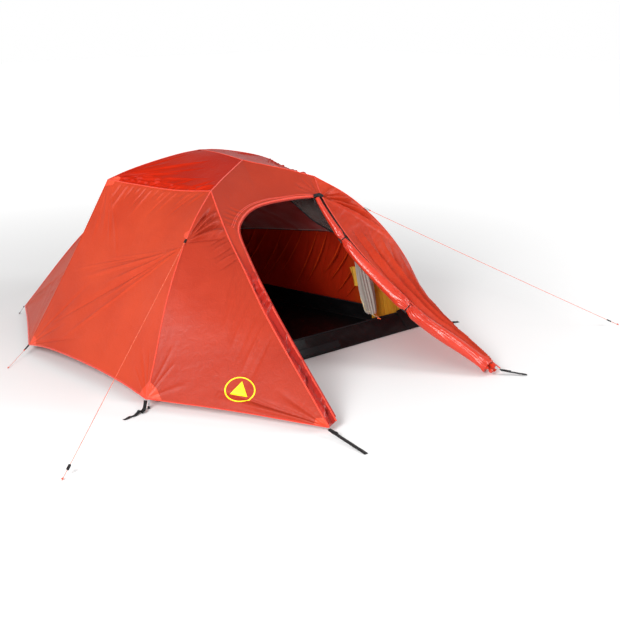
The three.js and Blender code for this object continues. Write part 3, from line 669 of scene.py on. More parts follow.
def free_cord(name, start, end, diameter, material, slot, sag):
    route = taut(start, end, sag)
    item = cord_curve(name + "_line", route, diameter, material)
    settled(item, slot, name)
    ahead = unit(end - start)
    lift = np.array((0, 0, diameter))
    ends = knot(
        name + "_end_knot", end - ahead * 0.008 + lift, unit(ahead * (1, 1, 0)), diameter * 0.55, material)
    tied = knot(name + "_start_knot", start + ahead * 0.006, ahead, diameter * 0.6, material)
    for piece in (ends, tied):
        settled(piece, slot)
    length = float(np.linalg.norm(np.diff(route, axis=0), axis=1).sum())
    return item, length, [ends, tied]


def declare_cord(cord, start):
    line, length, knots = cord
    list(start)
    list(knots)


def aimed(start, end):
    """Ahead, side and up of something that lies along a line, level side up."""
    ahead = unit(end - start)
    side = unit(np.cross((0, 0, 1.0), ahead))
    return ahead, side, np.cross(ahead, side)


def bevelled_plate(name, centre, axes, outline, holes, thick, material):
    """A moulded plate from an outline with round-ended holes, its edges rounded by a bevel."""
    curve = bpy.data.curves.new(name, "CURVE")
    curve.dimensions = "2D"
    curve.fill_mode = "BOTH"
    curve.extrude = thick / 2 - thick * 0.12
    curve.bevel_depth = thick * 0.12
    curve.bevel_resolution = 1
    for ring in [outline, *holes]:
        spline = curve.splines.new("POLY")
        spline.points.add(len(ring) - 1)
        spline.use_cyclic_u = True
        for spot, (x, y) in zip(spline.points, ring):
            spot.co = (x, y, 0, 1)
    shape = bpy.data.objects.new(name + "_outline", curve)
    bpy.context.collection.objects.link(shape)
    bpy.context.view_layer.update()
    mesh = bpy.data.meshes.new_from_object(shape.evaluated_get(bpy.context.evaluated_depsgraph_get()))
    bpy.data.objects.remove(shape)
    ahead, side, up = axes
    turn = Matrix(np.array((ahead, side, up)).T.tolist()).to_4x4()
    mesh.transform(Matrix.Translation(Vector(centre)) @ turn)
    mesh.materials.clear()
    mesh.materials.append(material)
    item = bpy.data.objects.new(name, mesh)
    bpy.context.collection.objects.link(item)
    return item


def ring_points(centre, radius_x, radius_y, count=20):
    angles = np.arange(count) * 2 * math.pi / count
    return [(centre[0] + radius_x * math.cos(a), centre[1] + radius_y * math.sin(a)) for a in angles]


def rounded(half_x, half_y, corner):
    points = []
    for sx, sy, first in ((1, 1, 0), (-1, 1, 90), (-1, -1, 180), (1, -1, 270)):
        for step in range(5):
            angle = math.radians(first + step * 22.5)
            points.append(
                (
                    sx * (half_x - corner) + corner * math.cos(angle),
                    sy * (half_y - corner) + corner * math.sin(angle)))
    return points


GUY_DIAMETER, SIDE_DIAMETER = 0.003, 0.0025
GRIP_RUN = 0.078  # from the guyline's end to the tensioner's middle


def guyline(side, mirror):
    """A guyline with its tensioner and the webbing loop it is tied to."""
    point = mirror(GUY_POINT)
    end = GUY_ENDS[side]
    ahead, across, up = aimed(point, end)
    start = point + ahead * 0.0425
    cord = free_cord(f"guyline_{side}", start, end, GUY_DIAMETER, CORD, "cord", 0.004)
    holes = [ring_points((x, 0), 0.0022, 0.0022, 12) for x in (-0.010, 0.010)]
    grip = bevelled_plate(
        f"tensioner_{side}_grip", end - ahead * GRIP_RUN, (ahead, across, up), rounded(0.016, 0.006, 0.0045), holes,
        0.008, PLASTIC)
    settled(grip, "black_plastic", f"tensioner_{side}", body=f"tensioner_{side}")
    angle = math.pi * (2 * steps(25)[:, None] - 1)
    loop_route = point + ahead * (0.025 + 0.017 * np.cos(angle + math.pi)) + up * 0.004 * np.sin(angle)
    loop = sweep(f"guy_tab_{side}_loop", loop_route, WEBBING, flat(0.010, 0.0014), up=np.tile(up, (25, 1)))
    settled(loop, "webbing", f"guy_tab_{side}")
    declare_cord(cord, start)


for side, mirror in SIDES:
    guyline(side, mirror)

for side, mirror in SIDES:
    pull, side_end = mirror(SIDE_PULL + p(-8, -6, -2)), mirror(SIDE_END)
    ahead, across, up = aimed(pull, side_end)
    start = pull + ahead * 0.0625
    cord = free_cord(f"side_cord_{side}", start, side_end, SIDE_DIAMETER, CORD, "cord", 0.001)
    along_tab = ((-0.006, 0.002), (0.012, 0.0005), (0.035, 0), (0.055, 0), (0.062, 0.001))
    tab_route = Line(*[pull + ahead * x + up * z for x, z in along_tab]).at(steps(16))
    tab = sweep(
        f"side_strap_{side}_webbing", tab_route, WEBBING, flat(0.012, 0.0016), up=np.tile(up, (16, 1)))
    settled(tab, "webbing", f"side_strap_{side}")
    declare_cord(cord, start)
    corner, rear_end = mirror(REAR_CORNER + p(-8, 4, -4)), mirror(REAR_END)
    cord = free_cord(f"rear_cord_{side}", corner, rear_end, SIDE_DIAMETER, DARK_CORD, "dark_cord", 0.0005)
    declare_cord(cord, corner)


# ------------------------------------------------------------------ fly seams
SHOULDER = on_leg(468, 1066)
BROW_TIP = p(-665, 544, 1078)
CREST = p(0, 473, 1209)
REAR_FOOT = p(0, 1745, 55)
REAR_PEAK = p(0, 1172, 948)
PORCH_CORNER = p(-705, -1500, 35)
DOOR_TOP_LEFT = p(-390, -394, 859)
DOOR_TOP_RIGHT = p(378, -258, 956)
DOOR_FOOT = p(-632, -1476, 44)

leg_upper = Line(HUB, on_leg(130, 1156), on_leg(290, 1117), SHOULDER)
leg_lower = Line(
    SHOULDER, on_leg(680, 943), on_leg(850, 803), on_leg(980, 665), on_leg(1100, 500), on_leg(1230, 260), FRONT_FOOT
)
spine_front = Line(HUB, p(0, 160, 1201), p(0, 310, 1210), CREST)
spine_rear = Line(
    CREST, p(0, 725, 1152), p(0, 970, 1058), p(0, 1200, 930), p(0, 1400, 735), p(0, 1560, 490), p(0, 1680, 240),
    REAR_FOOT,
)
brow = Line(BROW_TIP, p(-530, 527, 1121), p(-310, 500, 1171), p(-120, 478, 1202), CREST)
roof_seam = Line(BROW_TIP, p(-600, 362, 1064), p(-505, 60, 1052), SHOULDER)
side_ridge = Line(BROW_TIP, p(-908, 655, 560), SIDE_PULL)
side_hem = Line(SIDE_PULL, p(-1165, 538, 90), p(-1165, 46, 98), p(-1172, -300, 82), FRONT_FOOT)
rear_side_hem = Line(SIDE_PULL, p(-930, 1200, 72), REAR_CORNER)
rear_hem = Line(REAR_CORNER, p(-360, 1680, 72), REAR_FOOT)
spine_to_crease = Line(CREST, p(0, 725, 1152), p(0, 970, 1058), REAR_PEAK)
crease_to_foot = Line(REAR_PEAK, p(0, 1400, 735), p(0, 1560, 490), p(0, 1680, 240), REAR_FOOT)
rear_crease = Line(REAR_CORNER, p(-375, 1400, 540), p(-24, 1180, 925))
porch_ridge = Line(SHOULDER, p(-477, -388, 863), p(-545, -640, 680), p(-612, -890, 498), PORCH_CORNER)
porch_hem = Line(FRONT_FOOT, p(-960, -1000, 56), PORCH_CORNER)
door_edge = Line(DOOR_TOP_LEFT, p(-470, -600, 708), p(-548, -912, 480), DOOR_FOOT)
door_top = Line(
    DOOR_TOP_LEFT, p(-307, -328, 907), p(-196, -278, 943), p(-75, -255, 960), p(187, -247, 965), DOOR_TOP_RIGHT
)
door_lip = Line(*door_edge.points[::-1], *door_top.points[1:])
slack_ridge = Line(
    mirrored(SHOULDER), p(400, -268, 950), p(442, -520, 672), p(512, -780, 452), p(572, -1010, 290),
    p(640, -1270, 162), mirrored(PORCH_CORNER),
)


# ------------------------------------------------------------------ fly panels
def spread_on(line, low, high, count, seed):
    """Uneven places along a line, for folds to run to."""
    pick = np.random.default_rng(seed)
    return line.at(np.sort(pick.uniform(low, high, count)))


def relief(grid, out, height, reach=0.05):
    """Raises a grid by height along its normals, but not at its edges."""
    return grid + out * (height * edge_mask(grid, reach))[..., None]


def belly(grid, out, depth):
    rows, columns = grid.shape[:2]
    u = np.sin(np.linspace(0, math.pi, columns))[None]
    w = np.sin(np.linspace(0, math.pi, rows))[:, None]
    return grid - out * (depth * u * w)[..., None]


def share_near(line, point):
    """The share of a line's length at its nearest place to a point."""
    t = steps(2001)
    return t[np.argmin(np.linalg.norm(line.at(t) - point, axis=1))]


LEFT_BREAK = share_near(porch_ridge, p(-448, -330, 906))
RIGHT_BREAK = share_near(slack_ridge, p(400, -268, 950))
awning_west = Line(DOOR_TOP_LEFT, *porch_ridge.at(np.linspace(LEFT_BREAK, 0, 5)))
awning_east = Line(DOOR_TOP_RIGHT, *slack_ridge.at(np.linspace(RIGHT_BREAK, 0, 5)))
band_west = Line(*porch_ridge.at(np.linspace(1, LEFT_BREAK, 24)))

def lay_sheet(grid):
    """Works out the size and area of a sheet's cut, which is what its panel measures laid flat, and keeps none of it.
    """
    along = np.linalg.norm(np.diff(grid, axis=1), axis=2).sum(1).max()
    up = np.linalg.norm(np.diff(grid, axis=0), axis=2).sum(0).max()
    du, dw = grid[:-1, 1:] - grid[:-1, :-1], grid[1:, :-1] - grid[:-1, :-1]
    area = float(np.linalg.norm(np.cross(du, dw), axis=2).sum())
    wide, long = round(float(along) + 0.02, 3), round(float(up) + 0.02, 3)
    area = min(max(area, 0.3 * wide * long + 0.001), wide * long)


def panel(
    name, grid, height, material, belly_depth=0.0, reach=0.05, slot="shell"):
    out = normals(grid)
    shaped = belly(grid, out, belly_depth)
    shaped = relief(shaped, out, height, reach)
    final = normals(shaped)
    item = cloth(name + "_cloth", shaped, final, material)
    settled(item, slot, name)
    lay_sheet(shaped)
    return shaped, final


def turn_of(grid):
    """Turns the tent's left to a grid's own side."""
    return same if grid[..., 0].mean() < 0 else mirrored


def fan_to(grid, turn, origin, targets, width, depth, seed, reach=(0.5, 1.0)):
    """A fan of folds whose places are given on the tent's left."""
    return fan(grid, turn(origin), [turn(q) for q in targets], width, depth, seed, reach)


def comb(grid, turn, line, shares, offset, width, depths, fade, start=0.0):
    """Short folds side by side, each from its place on a line."""
    height = np.zeros(grid.shape[:2])
    for k, t in enumerate(shares):
        root = line.at(t) + start
        height += fold(grid, turn(root), turn(root + offset(k)), width, depths[k % len(depths)], fade=fade)
    return height


def roof_folds(grid, seed):
    """Tension lines that spread from the brow tip, and short ones that rise off the roof seam."""
    turn = turn_of(grid)
    far = np.concatenate([spread_on(leg_upper, 0.0, 1.0, 9, seed), spread_on(spine_front, 0, 1, 4, seed)])
    height = fan_to(grid, turn, BROW_TIP, far, 0.012, 0.015, seed, (0.35, 0.95))
    return height + comb(
        grid, turn, roof_seam, np.linspace(0.12, 0.9, 13),
        lambda k: p(150, -85, 25) * (0.9 + 0.5 * math.sin(k * 2.3)), 0.011, (-0.013, 0.013, 0.013), (0.2, 0.6))


def wall_folds(grid, seed):
    """Tension lines from the guy tab, the brow tip and the pegged corners, and short ones under the roof seam."""
    turn = turn_of(grid)
    targets = [*spread_on(side_ridge, 0.45, 0.98, 9, seed), *spread_on(side_hem, 0.0, 0.22, 4, seed + 1)]
    height = fan_to(grid, turn, on_leg(850, 803), targets, 0.014, 0.0080, seed, (0.55, 1.0))
    height += fan_to(
        grid, turn, BROW_TIP, spread_on(side_ridge, 0.2, 0.7, 3, seed + 2), 0.013, 0.006, seed + 2, (0.9, 1.0))
    height += fan_to(
        grid, turn, BROW_TIP, spread_on(side_hem, 0.2, 0.9, 7, seed + 3), 0.018, 0.0045, seed + 3, (0.2, 0.5))
    height += comb(
        grid, turn, roof_seam, np.linspace(0.15, 0.97, 14),
        lambda k: p(-115, 65, -170) * (0.8 + 0.45 * math.sin(k * 1.7)), 0.011, (-0.006, 0.0075), (0.12, 0.7))
    height += fan_to(
        grid, turn, FRONT_FOOT, (p(-1120, -380, 420), p(-1150, -300, 380), p(-1160, -150, 330)), 0.012, 0.005, seed + 4)
    targets = (p(-1000, 300, 620), p(-1080, 250, 420), p(-1130, 150, 260), p(-960, 560, 640))
    return height + fan_to(grid, turn, SIDE_PULL, targets, 0.016, 0.008, seed + 5)


def porch_folds(grid, seed):
    """Creases from the guy tab to the ridge, short ones that run off the ridge, and fans at the corners."""
    turn = turn_of(grid)
    height = np.zeros(grid.shape[:2])
    for k, share in enumerate((0.45, 0.6, 0.75, 0.9, 1.05, 1.25, 1.5)):
        end = turn(porch_ridge.at(LEFT_BREAK * share))
        height += fold(grid, turn(on_leg(820, 828)), end, 0.016, (-0.016, 0.020)[k % 2], fade=(0.1, 0.3))
    height += comb(
        grid, turn, porch_ridge, np.linspace(0.08, 0.3, 9), lambda k: p(-150, -18, -45 + 4 * k),
        0.008, (-0.0085, 0.0085), (0.15, 0.5))
    height += comb(
        grid, turn, porch_ridge, np.linspace(0.3, 0.62, 7), lambda k: p(-70 - 12 * k, 20, -330),
        0.015, (-0.00385, 0.0055), (0.2, 0.6))
    targets = (
        p(-900, -1050, 160), p(-960, -930, 120), p(-1020, -850, 190), p(-1100, -700, 150), p(-850, -1100, 260))
    height += fan_to(grid, turn, PORCH_CORNER, targets, 0.017, 0.010, seed + 1, (0.75, 1.0))
    targets = (p(-1020, -820, 220), p(-1050, -700, 400), p(-1100, -650, 430))
    return height + fan_to(grid, turn, FRONT_FOOT, targets, 0.014, 0.005, seed + 2)


def slack_folds(grid):
    """Loose folds that spread from the door's top corner, and others that run up from the porch corner."""
    top = DOOR_TOP_RIGHT + p(22, -6, -6)
    height = np.zeros(grid.shape[:2])
    for end, wide, depth in (
        (on_leg(600, 995), 0.0080, 0.0147), (
            on_leg(680, 945), 0.0112, -0.0231), (on_leg(745, 895), 0.0112, 0.0252),
        (
            on_leg(820, 828), 0.0128,
            -0.0315), (on_leg(900, 755), 0.0144, 0.0294), (on_leg(985, 660), 0.0176, -0.0336),
        (on_leg(1060, 560), 0.0192, 0.0252),
    ):
        height += fold(grid, top, mirrored(end), wide, depth, sharp=1.5, fade=(0.08, 0.3))
    corner = mirrored(PORCH_CORNER)
    for end, wide, depth in (
        (
            p(520, -400, 790), 0.0165,
            -0.0228), (p(590, -420, 760), 0.0180, 0.0266), (p(670, -430, 730), 0.0165, -0.0342),
        (p(760, -430, 700), 0.0195, 0.0342), (
            p(850, -450, 650), 0.0165, -0.0380), (p(930, -470, 580), 0.0195, 0.0304),
        (p(1010, -500, 480), 0.0165, -0.0304), (p(1080, -560, 360), 0.0165, 0.0228),
        (p(1130, -640, 220), 0.0150, -0.0190),
    ):
        height += fold(grid, corner, end, wide, depth, sharp=1.3, fade=(0.12, 0.3))
    return height


def side_panels(made):
    """The roof, wall and rear flank, on the left and then on the right."""
    roof = coons(roof_seam.back(), spine_front, leg_upper.back(), brow, 130, 110)
    wall = coons(side_hem.back(), roof_seam.back(), leg_lower.back(), side_ridge.back(), 210, 210)
    rear = settle(
        coons(rear_side_hem, Chain(brow, spine_to_crease), side_ridge.back(), rear_crease, 72, 60), 2600)
    for (side, turn), seed in zip(SIDES, (3, 40)):
        grid = turn(roof)
        made[f"roof_{side}"] = panel(
            f"fly_roof_{side}", grid, roof_folds(grid, seed) + crumple(grid, seed, 0.22, 0.0012), ROOF,
            0.004, 0.03)
        grid = turn(wall)
        made[f"wall_{side}"] = panel(
            f"fly_wall_{side}", grid, wall_folds(grid, seed + 9) + crumple(
                grid, seed + 1, 0.3, 0.0016), WALL,
            0.022, 0.03)
        grid = turn(rear)
        folds = crumple(grid, seed + 2, 0.3, 0.0015)
        for step, (origin, line, low, count, width, depth) in enumerate((
            (REAR_CORNER, side_ridge, 0.1, 8, 0.02, 0.009),
            (SIDE_PULL, rear_crease, 0.2, 6, 0.016, 0.008),
            (BROW_TIP, spine_to_crease, 0.1, 6, 0.014, 0.007),
        )):
            folds += fan_to(
                grid, turn, origin, spread_on(line, low, 0.9, count, seed), width, depth, seed + step)
        made[f"rear_{side}"] = panel(
            f"fly_rear_{side}", grid, folds, WALL, 0.0, 0.03)


def porch_panels(made):
    porch_top = Line(on_leg(520, 1036), p(-455, -250, 965))
    porch = coons(porch_hem, porch_top, leg_lower.back(), porch_ridge.back(), 150, 240)
    slack = coons(
        *(mirrored(line) for line in (porch_hem, porch_top, leg_lower.back())), slack_ridge.back(), 160,
        240)
    made["porch_left"] = panel(
        "fly_porch_left", porch, porch_folds(porch, 5) + crumple(porch, 8, 0.25, 0.0012), PORCH,
        0.010, 0.025)
    made["porch_right"] = panel(
        "fly_porch_right", slack, slack_folds(slack) + crumple(slack, 18, 0.16, 0.005), SLACK,
        0.014, 0.03)


def rear_end_panel(made):
    """The panel between the two rear creases."""
    half_north = Line(p(-24, 1180, 925), p(-12, 1176, 936), REAR_PEAK)
    half = coons(rear_hem, half_north, rear_crease, crease_to_foot.back(), 44, 84)
    grid = np.concatenate([half, mirrored(half)[:, 1:]], 1)
    targets = [p(-300, 1500, 420), p(-200, 1500, 500), p(200, 1500, 500), p(320, 1480, 430)]
    folds = fan(grid, REAR_FOOT, targets, 0.018, 0.010, 77)
    for (_, turn), seed in zip(SIDES, (78, 79)):
        targets = (p(-120, 1600, 420), p(-150, 1450, 600), p(-60, 1640, 300))
        folds += fan_to(grid, turn, REAR_CORNER, targets, 0.016, 0.010, seed)
    made["rear_end"] = panel("fly_rear_end", grid, folds, WALL, 0.0, 0.03)


def awning_panel(made):
    grid = coons(door_top, Chain(leg_upper.back(), mirrored(leg_upper)), awning_west, awning_east, 170, 70)
    folds = comb(
        grid, same, door_top, np.linspace(0.0, 0.24, 10), lambda k: p(-95, 60, 40), 0.008, (-0.004, 0.004),
        (0.1, 0.6), start=p(-14, -10, 22))
    targets = [p(395, -130, 1050), p(300, -100, 1080), p(250, -160, 1040), p(200, -180, 1010)]
    folds += fan(grid, DOOR_TOP_RIGHT, targets, 0.014, 0.012, 31) + crumple(grid, 4, 0.25, 0.001)
    made["awning"] = panel("fly_awning", grid, folds, PORCH, 0.0, 0.02)


def door_band(made):
    """The wrinkled strip down the door's left edge."""
    grid = coons(
        Line(PORCH_CORNER, DOOR_FOOT), Line(
            porch_ridge.at(LEFT_BREAK), DOOR_TOP_LEFT), band_west, door_edge.back(),
        22, 300)
    run, over = steps(grid.shape[0])[:, None], steps(grid.shape[1])[None]
    pick = np.random.default_rng(12)
    ripple = np.zeros(grid.shape[:2])
    for _ in range(34):
        centre, lean, wide = pick.uniform(0.02, 0.8), pick.uniform(0.03, 0.10), pick.uniform(0.006, 0.016)
        crease = np.exp(-(((run - centre - lean * (over - 0.5)) / wide) ** 2))
        ripple += pick.choice((-1, 1)) * pick.uniform(0.4, 1) * crease
    roll = np.sin(over * math.pi * 2.2 + 3 * run) * (0.7 + 0.3 * np.sin(31 * run))
    ripple = 0.008 * ripple * smooth(0.9, 0.7, run) + 0.010 * roll
    made["band"] = panel("fly_door_band", grid, ripple, BAND, 0.0, 0.012)


FLY = {}
for build in (side_panels, porch_panels, rear_end_panel, awning_panel, door_band):
    build(FLY)


def at_panel(panel_key, u, w, lift=0.0):
    """A point on a panel, by its shares of the way across and up, with the cloth's normal."""
    grid, out = FLY[panel_key]
    rows, columns = grid.shape[0] - 1, grid.shape[1] - 1
    x, y = np.clip(
        np.asarray(u) * columns, 0, columns - 1e-6), np.clip(np.asarray(w) * rows, 0, rows - 1e-6)
    i, j = x.astype(int), y.astype(int)
    fx, fy = (x - i)[..., None], (y - j)[..., None]

    def blend(data):
        low = data[j, i] * (1 - fx) + data[j, i + 1] * fx
        high = data[j + 1, i] * (1 - fx) + data[j + 1, i + 1] * fx
        return low * (1 - fy) + high * fy

    normal = unit(blend(out))
    lift = np.asarray(lift, float)
    return blend(grid) + normal * (lift[..., None] if lift.ndim else lift), normal


# ------------------------------------------------------------------ seams and hems
def outward(route, inside=INSIDE):
    return unit(route - inside)


SEAM_STEP, INNER_SEAM_STEP = 0.007, 0.008


def seam(name, line, width, height, material=PIPING):
    """A felled seam: a low rounded tape that straddles the seam line."""
    route = line.at(steps(max(12, int(line.length / SEAM_STEP))))
    settled(sweep(name, route, material, oval(width, height, 10), up=outward(route)), "shell")


def spine_sleeve():
    """The strip of cloth that carries the crest pole over the rear of the flysheet."""
    first = brow.length / (brow.length + spine_to_crease.length)
    u = np.linspace(first + 0.004, 0.995, 90)
    left, out = at_panel("rear_left", u, np.full(90, 0.972), 0.0012)
    ridge = spine_rear.at(steps(400))
    crown = np.stack([0 * u, left[:, 1], np.interp(left[:, 1], ridge[:, 1], ridge[:, 2]) + 0.001], -1)
    right = mirrored(left)
    pull = 2 * crown - (left + right) / 2
    v = steps(17)[:, None, None]
    grid = (1 - v) ** 2 * left + 2 * v * (1 - v) * pull + v**2 * right
    settled(cloth("spine_sleeve_cloth", grid, normals(grid), WALL, 0.0009), "shell")
    for side, turn in SIDES:
        settled(
            sweep(f"spine_sleeve_seam_{side}", turn(left), PIPING, oval(0.005, 0.003, 8), up=turn(out)),
            "shell")


def crown_patch():
    """A patch over the place where the two upper poles cross."""
    x, y = np.meshgrid(np.linspace(-0.042, 0.042, 17), CREST[1] + np.linspace(-0.020, 0.062, 17))
    ridge = np.concatenate([spine_front.at(steps(200)), spine_rear.at(steps(400))])
    z = np.interp(y, ridge[:, 1], ridge[:, 2]) + 0.0035 - 2.2 * x**2
    grid = np.stack([x, y, z], -1)
    settled(cloth("crown_patch_cloth", grid, normals(grid), PATCH, 0.001), "shell")


spine_sleeve()
crown_patch()
seam("spine_seam", spine_front, 0.008, 0.005)
for side, turn in SIDES:
    for name, line, width, height, material in (
        ("leg_seam_upper", leg_upper, 0.007, 0.005, PIPING),
        ("leg_seam", leg_lower, 0.007, 0.005, PIPING),
        ("brow_seam", brow, 0.008, 0.004, PIPING),
        ("roof_seam", roof_seam, 0.007, 0.005, PIPING),
        ("side_ridge_seam", side_ridge, 0.007, 0.004, WALL),
        ("rear_crease_seam", rear_crease, 0.007, 0.004, PIPING),
        ("side_hem_tape", side_hem, 0.006, 0.013, HEM),
        ("rear_side_hem_tape", rear_side_hem, 0.006, 0.013, HEM),
        ("rear_hem_tape", rear_hem, 0.006, 0.013, HEM),
        ("porch_hem_tape", porch_hem, 0.006, 0.013, HEM),
    ):
        seam(f"{name}_{side}", turn(line), width, height, material)
seam("porch_ridge_seam_left", porch_ridge, 0.009, 0.005)
seam("porch_ridge_seam_right", slack_ridge, 0.008, 0.005)
seam("door_lip_tape", door_lip, 0.012, 0.010)
seam("awning_edge_seam", awning_east, 0.006, 0.004)


# ------------------------------------------------------------------ rolled door, ties and zip
ROLL_SHIFT = p(-36, -8, -24)
ROLL_START, ROLL_SPAN = 0.075, 0.885
TIES = tuple((share - ROLL_START) / ROLL_SPAN for share in (0.258, 0.6066))


def roll_centre(t):
    return slack_ridge.at(ROLL_START + np.asarray(t, float) * ROLL_SPAN) + ROLL_SHIFT


def roll_radius(t):
    full = 0.014 + 0.022 * np.minimum(1, t * 2.2)
    pinch = sum(0.40 * np.exp(-(((t - tie) / 0.022) ** 2)) for tie in TIES)
    swell = 0.10 * np.sin(9 * t + 1) + 0.07 * np.sin(23 * t + 2)
    return full * (1 - pinch) * (1 + swell * 0.5)


def roll_shape(t, angle):
    """The roll's outline as shares of its radius: soft lobes, ties that gather it, creases and its free edge."""
    pick = np.random.default_rng(21)
    shape = 1 + 0.09 * np.sin(2 * angle + 1.1 + 5 * t) + 0.05 * np.sin(3 * angle - 9 * t)
    near_tie = sum(np.exp(-(((t - tie) / 0.05) ** 2)) for tie in (*TIES, 1))
    shape += 0.10 * near_tie * np.sin(11 * angle + 3 * np.sin(40 * t))
    for _ in range(34):
        where, which, lean = pick.uniform(0, 1), pick.uniform(0, 6.28), pick.uniform(-8, 8)
        off = np.angle(np.exp(1j * (angle - which - lean * (t - where))))
        depth = pick.choice((-1, 1)) * pick.uniform(0.03, 0.10)
        around, along = pick.uniform(0.12, 0.3), pick.uniform(0.02, 0.07)
        shape += depth * np.exp(-((off / around) ** 2) - ((t - where) / along) ** 2)
    edge = np.angle(np.exp(1j * (angle + 2.2 * t - 2.6)))
    shape -= 0.16 * np.exp(-((edge / 0.07) ** 2))
    return shape * (1 + 0.25 * smooth(0.97, 1.01, t))


def sunk_end(ring, centre, inward, number, base, first):
    """Closes a tube's end with rings that sink into it. Gives their points and faces."""
    points, faces, previous, sides = [], [], number, len(number)
    for k, share in enumerate((0.75, 0.5, 0.25)):
        points += (
            centre + (ring - centre) * share + inward * 0.010 * (0.5 + 0.5 * math.sin(k * 2.2))).tolist()
        now = np.arange(base + k * sides, base + (k + 1) * sides)
        quads = np.stack([previous, np.roll(previous, -1), np.roll(now, -1), now], -1)
        faces += (quads if first else quads[:, ::-1]).tolist()
        previous = now
    faces.append(previous.tolist() if first else previous[::-1].tolist())
    return points, faces


def rolled_door():
    count, sides = 520, 72
    t = np.linspace(-0.005, 1.012, count)
    centre = roll_centre(np.clip(t, 0, 1))
    ahead = unit(np.gradient(centre, axis=0))
    centre = centre + ahead * (t - np.clip(t, 0, 1))[:, None] * 1.6
    side, up = level_axes(ahead)
    angle = np.linspace(0, 2 * math.pi, sides, endpoint=False)[None]
    t = t[:, None]
    radius = (roll_radius(t) * roll_shape(t, angle))[..., None]
    points = centre[:, None] + radius * (
        np.cos(angle)[..., None] * side[:, None] + np.sin(angle)[..., None] * up[:, None])
    number = np.arange(count * sides).reshape(count, sides)
    faces = tube_faces(count, sides)[:-2]
    flat_points = points.reshape(-1, 3).tolist()
    for row, first in ((0, True), (count - 1, False)):
        inward = ahead[row] if first else -ahead[row]
        more, closing = sunk_end(points[row], centre[row], inward, number[row], len(flat_points), first)
        flat_points += more
        faces += closing
    run = np.arange(count) * slack_ridge.length * ROLL_SPAN / count
    uv = np.stack(np.meshgrid(np.arange(sides) * 0.003, run), -1).reshape(-1, 2)
    uv = np.concatenate([uv, np.zeros((len(flat_points) - len(uv), 2))])
    item = add_object("rolled_door_cloth", flat_points, faces, ROLL, uv)
    return settled(item, "rolled", "rolled_door")


rolled_door()


def crumpled_flap(name, centre, ahead, size, seed):
    """A corner of cloth that sticks out of a bundle's end."""
    side, up = level_axes(ahead, (0.2, 0.1, 1.0))
    x, y = np.meshgrid(steps(26), np.linspace(-1, 1, 26))
    wide = size * (0.55 + 0.5 * x)
    wave = 0.16 * np.sin(5.5 * y + seed) + 0.10 * np.sin(9 * x + 4 * y + seed) + 0.22 * y * y
    parts = ((x * size * 1.1, ahead), (y * wide * 0.7, side), (wave * size, up))
    grid = centre + sum(amount[..., None] * axis for amount, axis in parts)
    settled(cloth(name, grid, normals(grid), ROLL), "rolled")


roll_end = roll_centre(np.array([0.97, 1.0]))
end_ahead = unit(roll_end[1] - roll_end[0])
for name, shift, lean, size, seed in (
    ("low", p(-4, -3, -8), (-0.12, 0.05, 0.12), 0.050, 1.0),
    ("high", p(4, 4, 8), (0.2, 0.05, 0.25), 0.052, 2.6),
):
    spot = roll_end[1] - end_ahead * 0.012 + shift
    crumpled_flap("rolled_door_corner_" + name, spot, unit(end_ahead + lean), size, seed)


def tie_loop(name, t):
    """An elastic loop round the roll."""
    centre = roll_centre(t)
    ahead = unit(roll_centre(t + 0.02) - roll_centre(t - 0.02))
    side, up = level_axes(ahead)
    angle = np.linspace(0, 2 * math.pi, 50)[:, None]
    radius = roll_radius(np.array(t)) * 1.06 + 0.0006
    route = centre + radius * (
        np.cos(angle) * side + np.sin(angle) * up) + ahead * 0.0012 * np.sin(3 * angle)
    settled(sweep(name, route, WEBBING, flat(0.006, 0.0012), up=route - centre), "webbing")


TOGGLE_WAIST = 0.72


def toggle_piece(node, material, slot):
    """A barrel toggle: ridged ends, a waisted middle and a hole for its cord."""
    points = np.array([v.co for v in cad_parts[node].data.vertices])
    centre = points.mean(0)
    ahead = np.linalg.svd(points - centre)[2][0]
    along = (points - centre) @ ahead
    half = (along.max() - along.min()) / 2
    radius = np.linalg.norm(points - centre - along[:, None] * ahead, axis=1).max()
    t = np.linspace(-1, 1, 41)
    out = np.abs(t)
    profile = np.where(out > 0.9, np.sqrt(np.maximum(0.02, 1 - ((out - 0.9) / 0.1) ** 2)), 1.0)
    profile = profile * (TOGGLE_WAIST + (1 - TOGGLE_WAIST) * smooth(0.05, 0.45, out))
    profile = profile * (1 - 0.06 * (np.cos(t * 26) > 0.6) * (out > 0.45))
    route = centre + t[:, None] * half * ahead
    side = unit(np.cross(ahead, (0.3, 0.5, 0.8)))
    up = np.tile(side, (41, 1))
    item = sweep(node + "_barrel", route, material, oval(radius * 2, radius * 2, 18), up=up, scale=profile)
    settled(item, slot, node, body=node)
    return centre, ahead, radius


for label, t in zip(("upper", "lower"), TIES):
    tie_loop(f"door_tie_{label}", t)
    centre, ahead, radius = toggle_piece(f"door_toggle_{label}", PLASTIC, "black_plastic")
    anchor = roll_centre(t)
    inward = unit(anchor - centre)
    start = centre + inward * (radius * 0.5)
    side = unit(np.cross(inward, ahead))
    last = anchor - inward * float(roll_radius(np.array(t))) * 0.9
    route = Line(start, start + inward * 0.005 + side * 0.003, start + inward * 0.012, last).at(steps(14))
    cordlet = sweep(
        f"door_toggle_{label}_elastic", route, WEBBING, oval(0.002, 0.002, 6), up=np.tile(ahead, (14, 1)))
    settled(cordlet, "webbing")

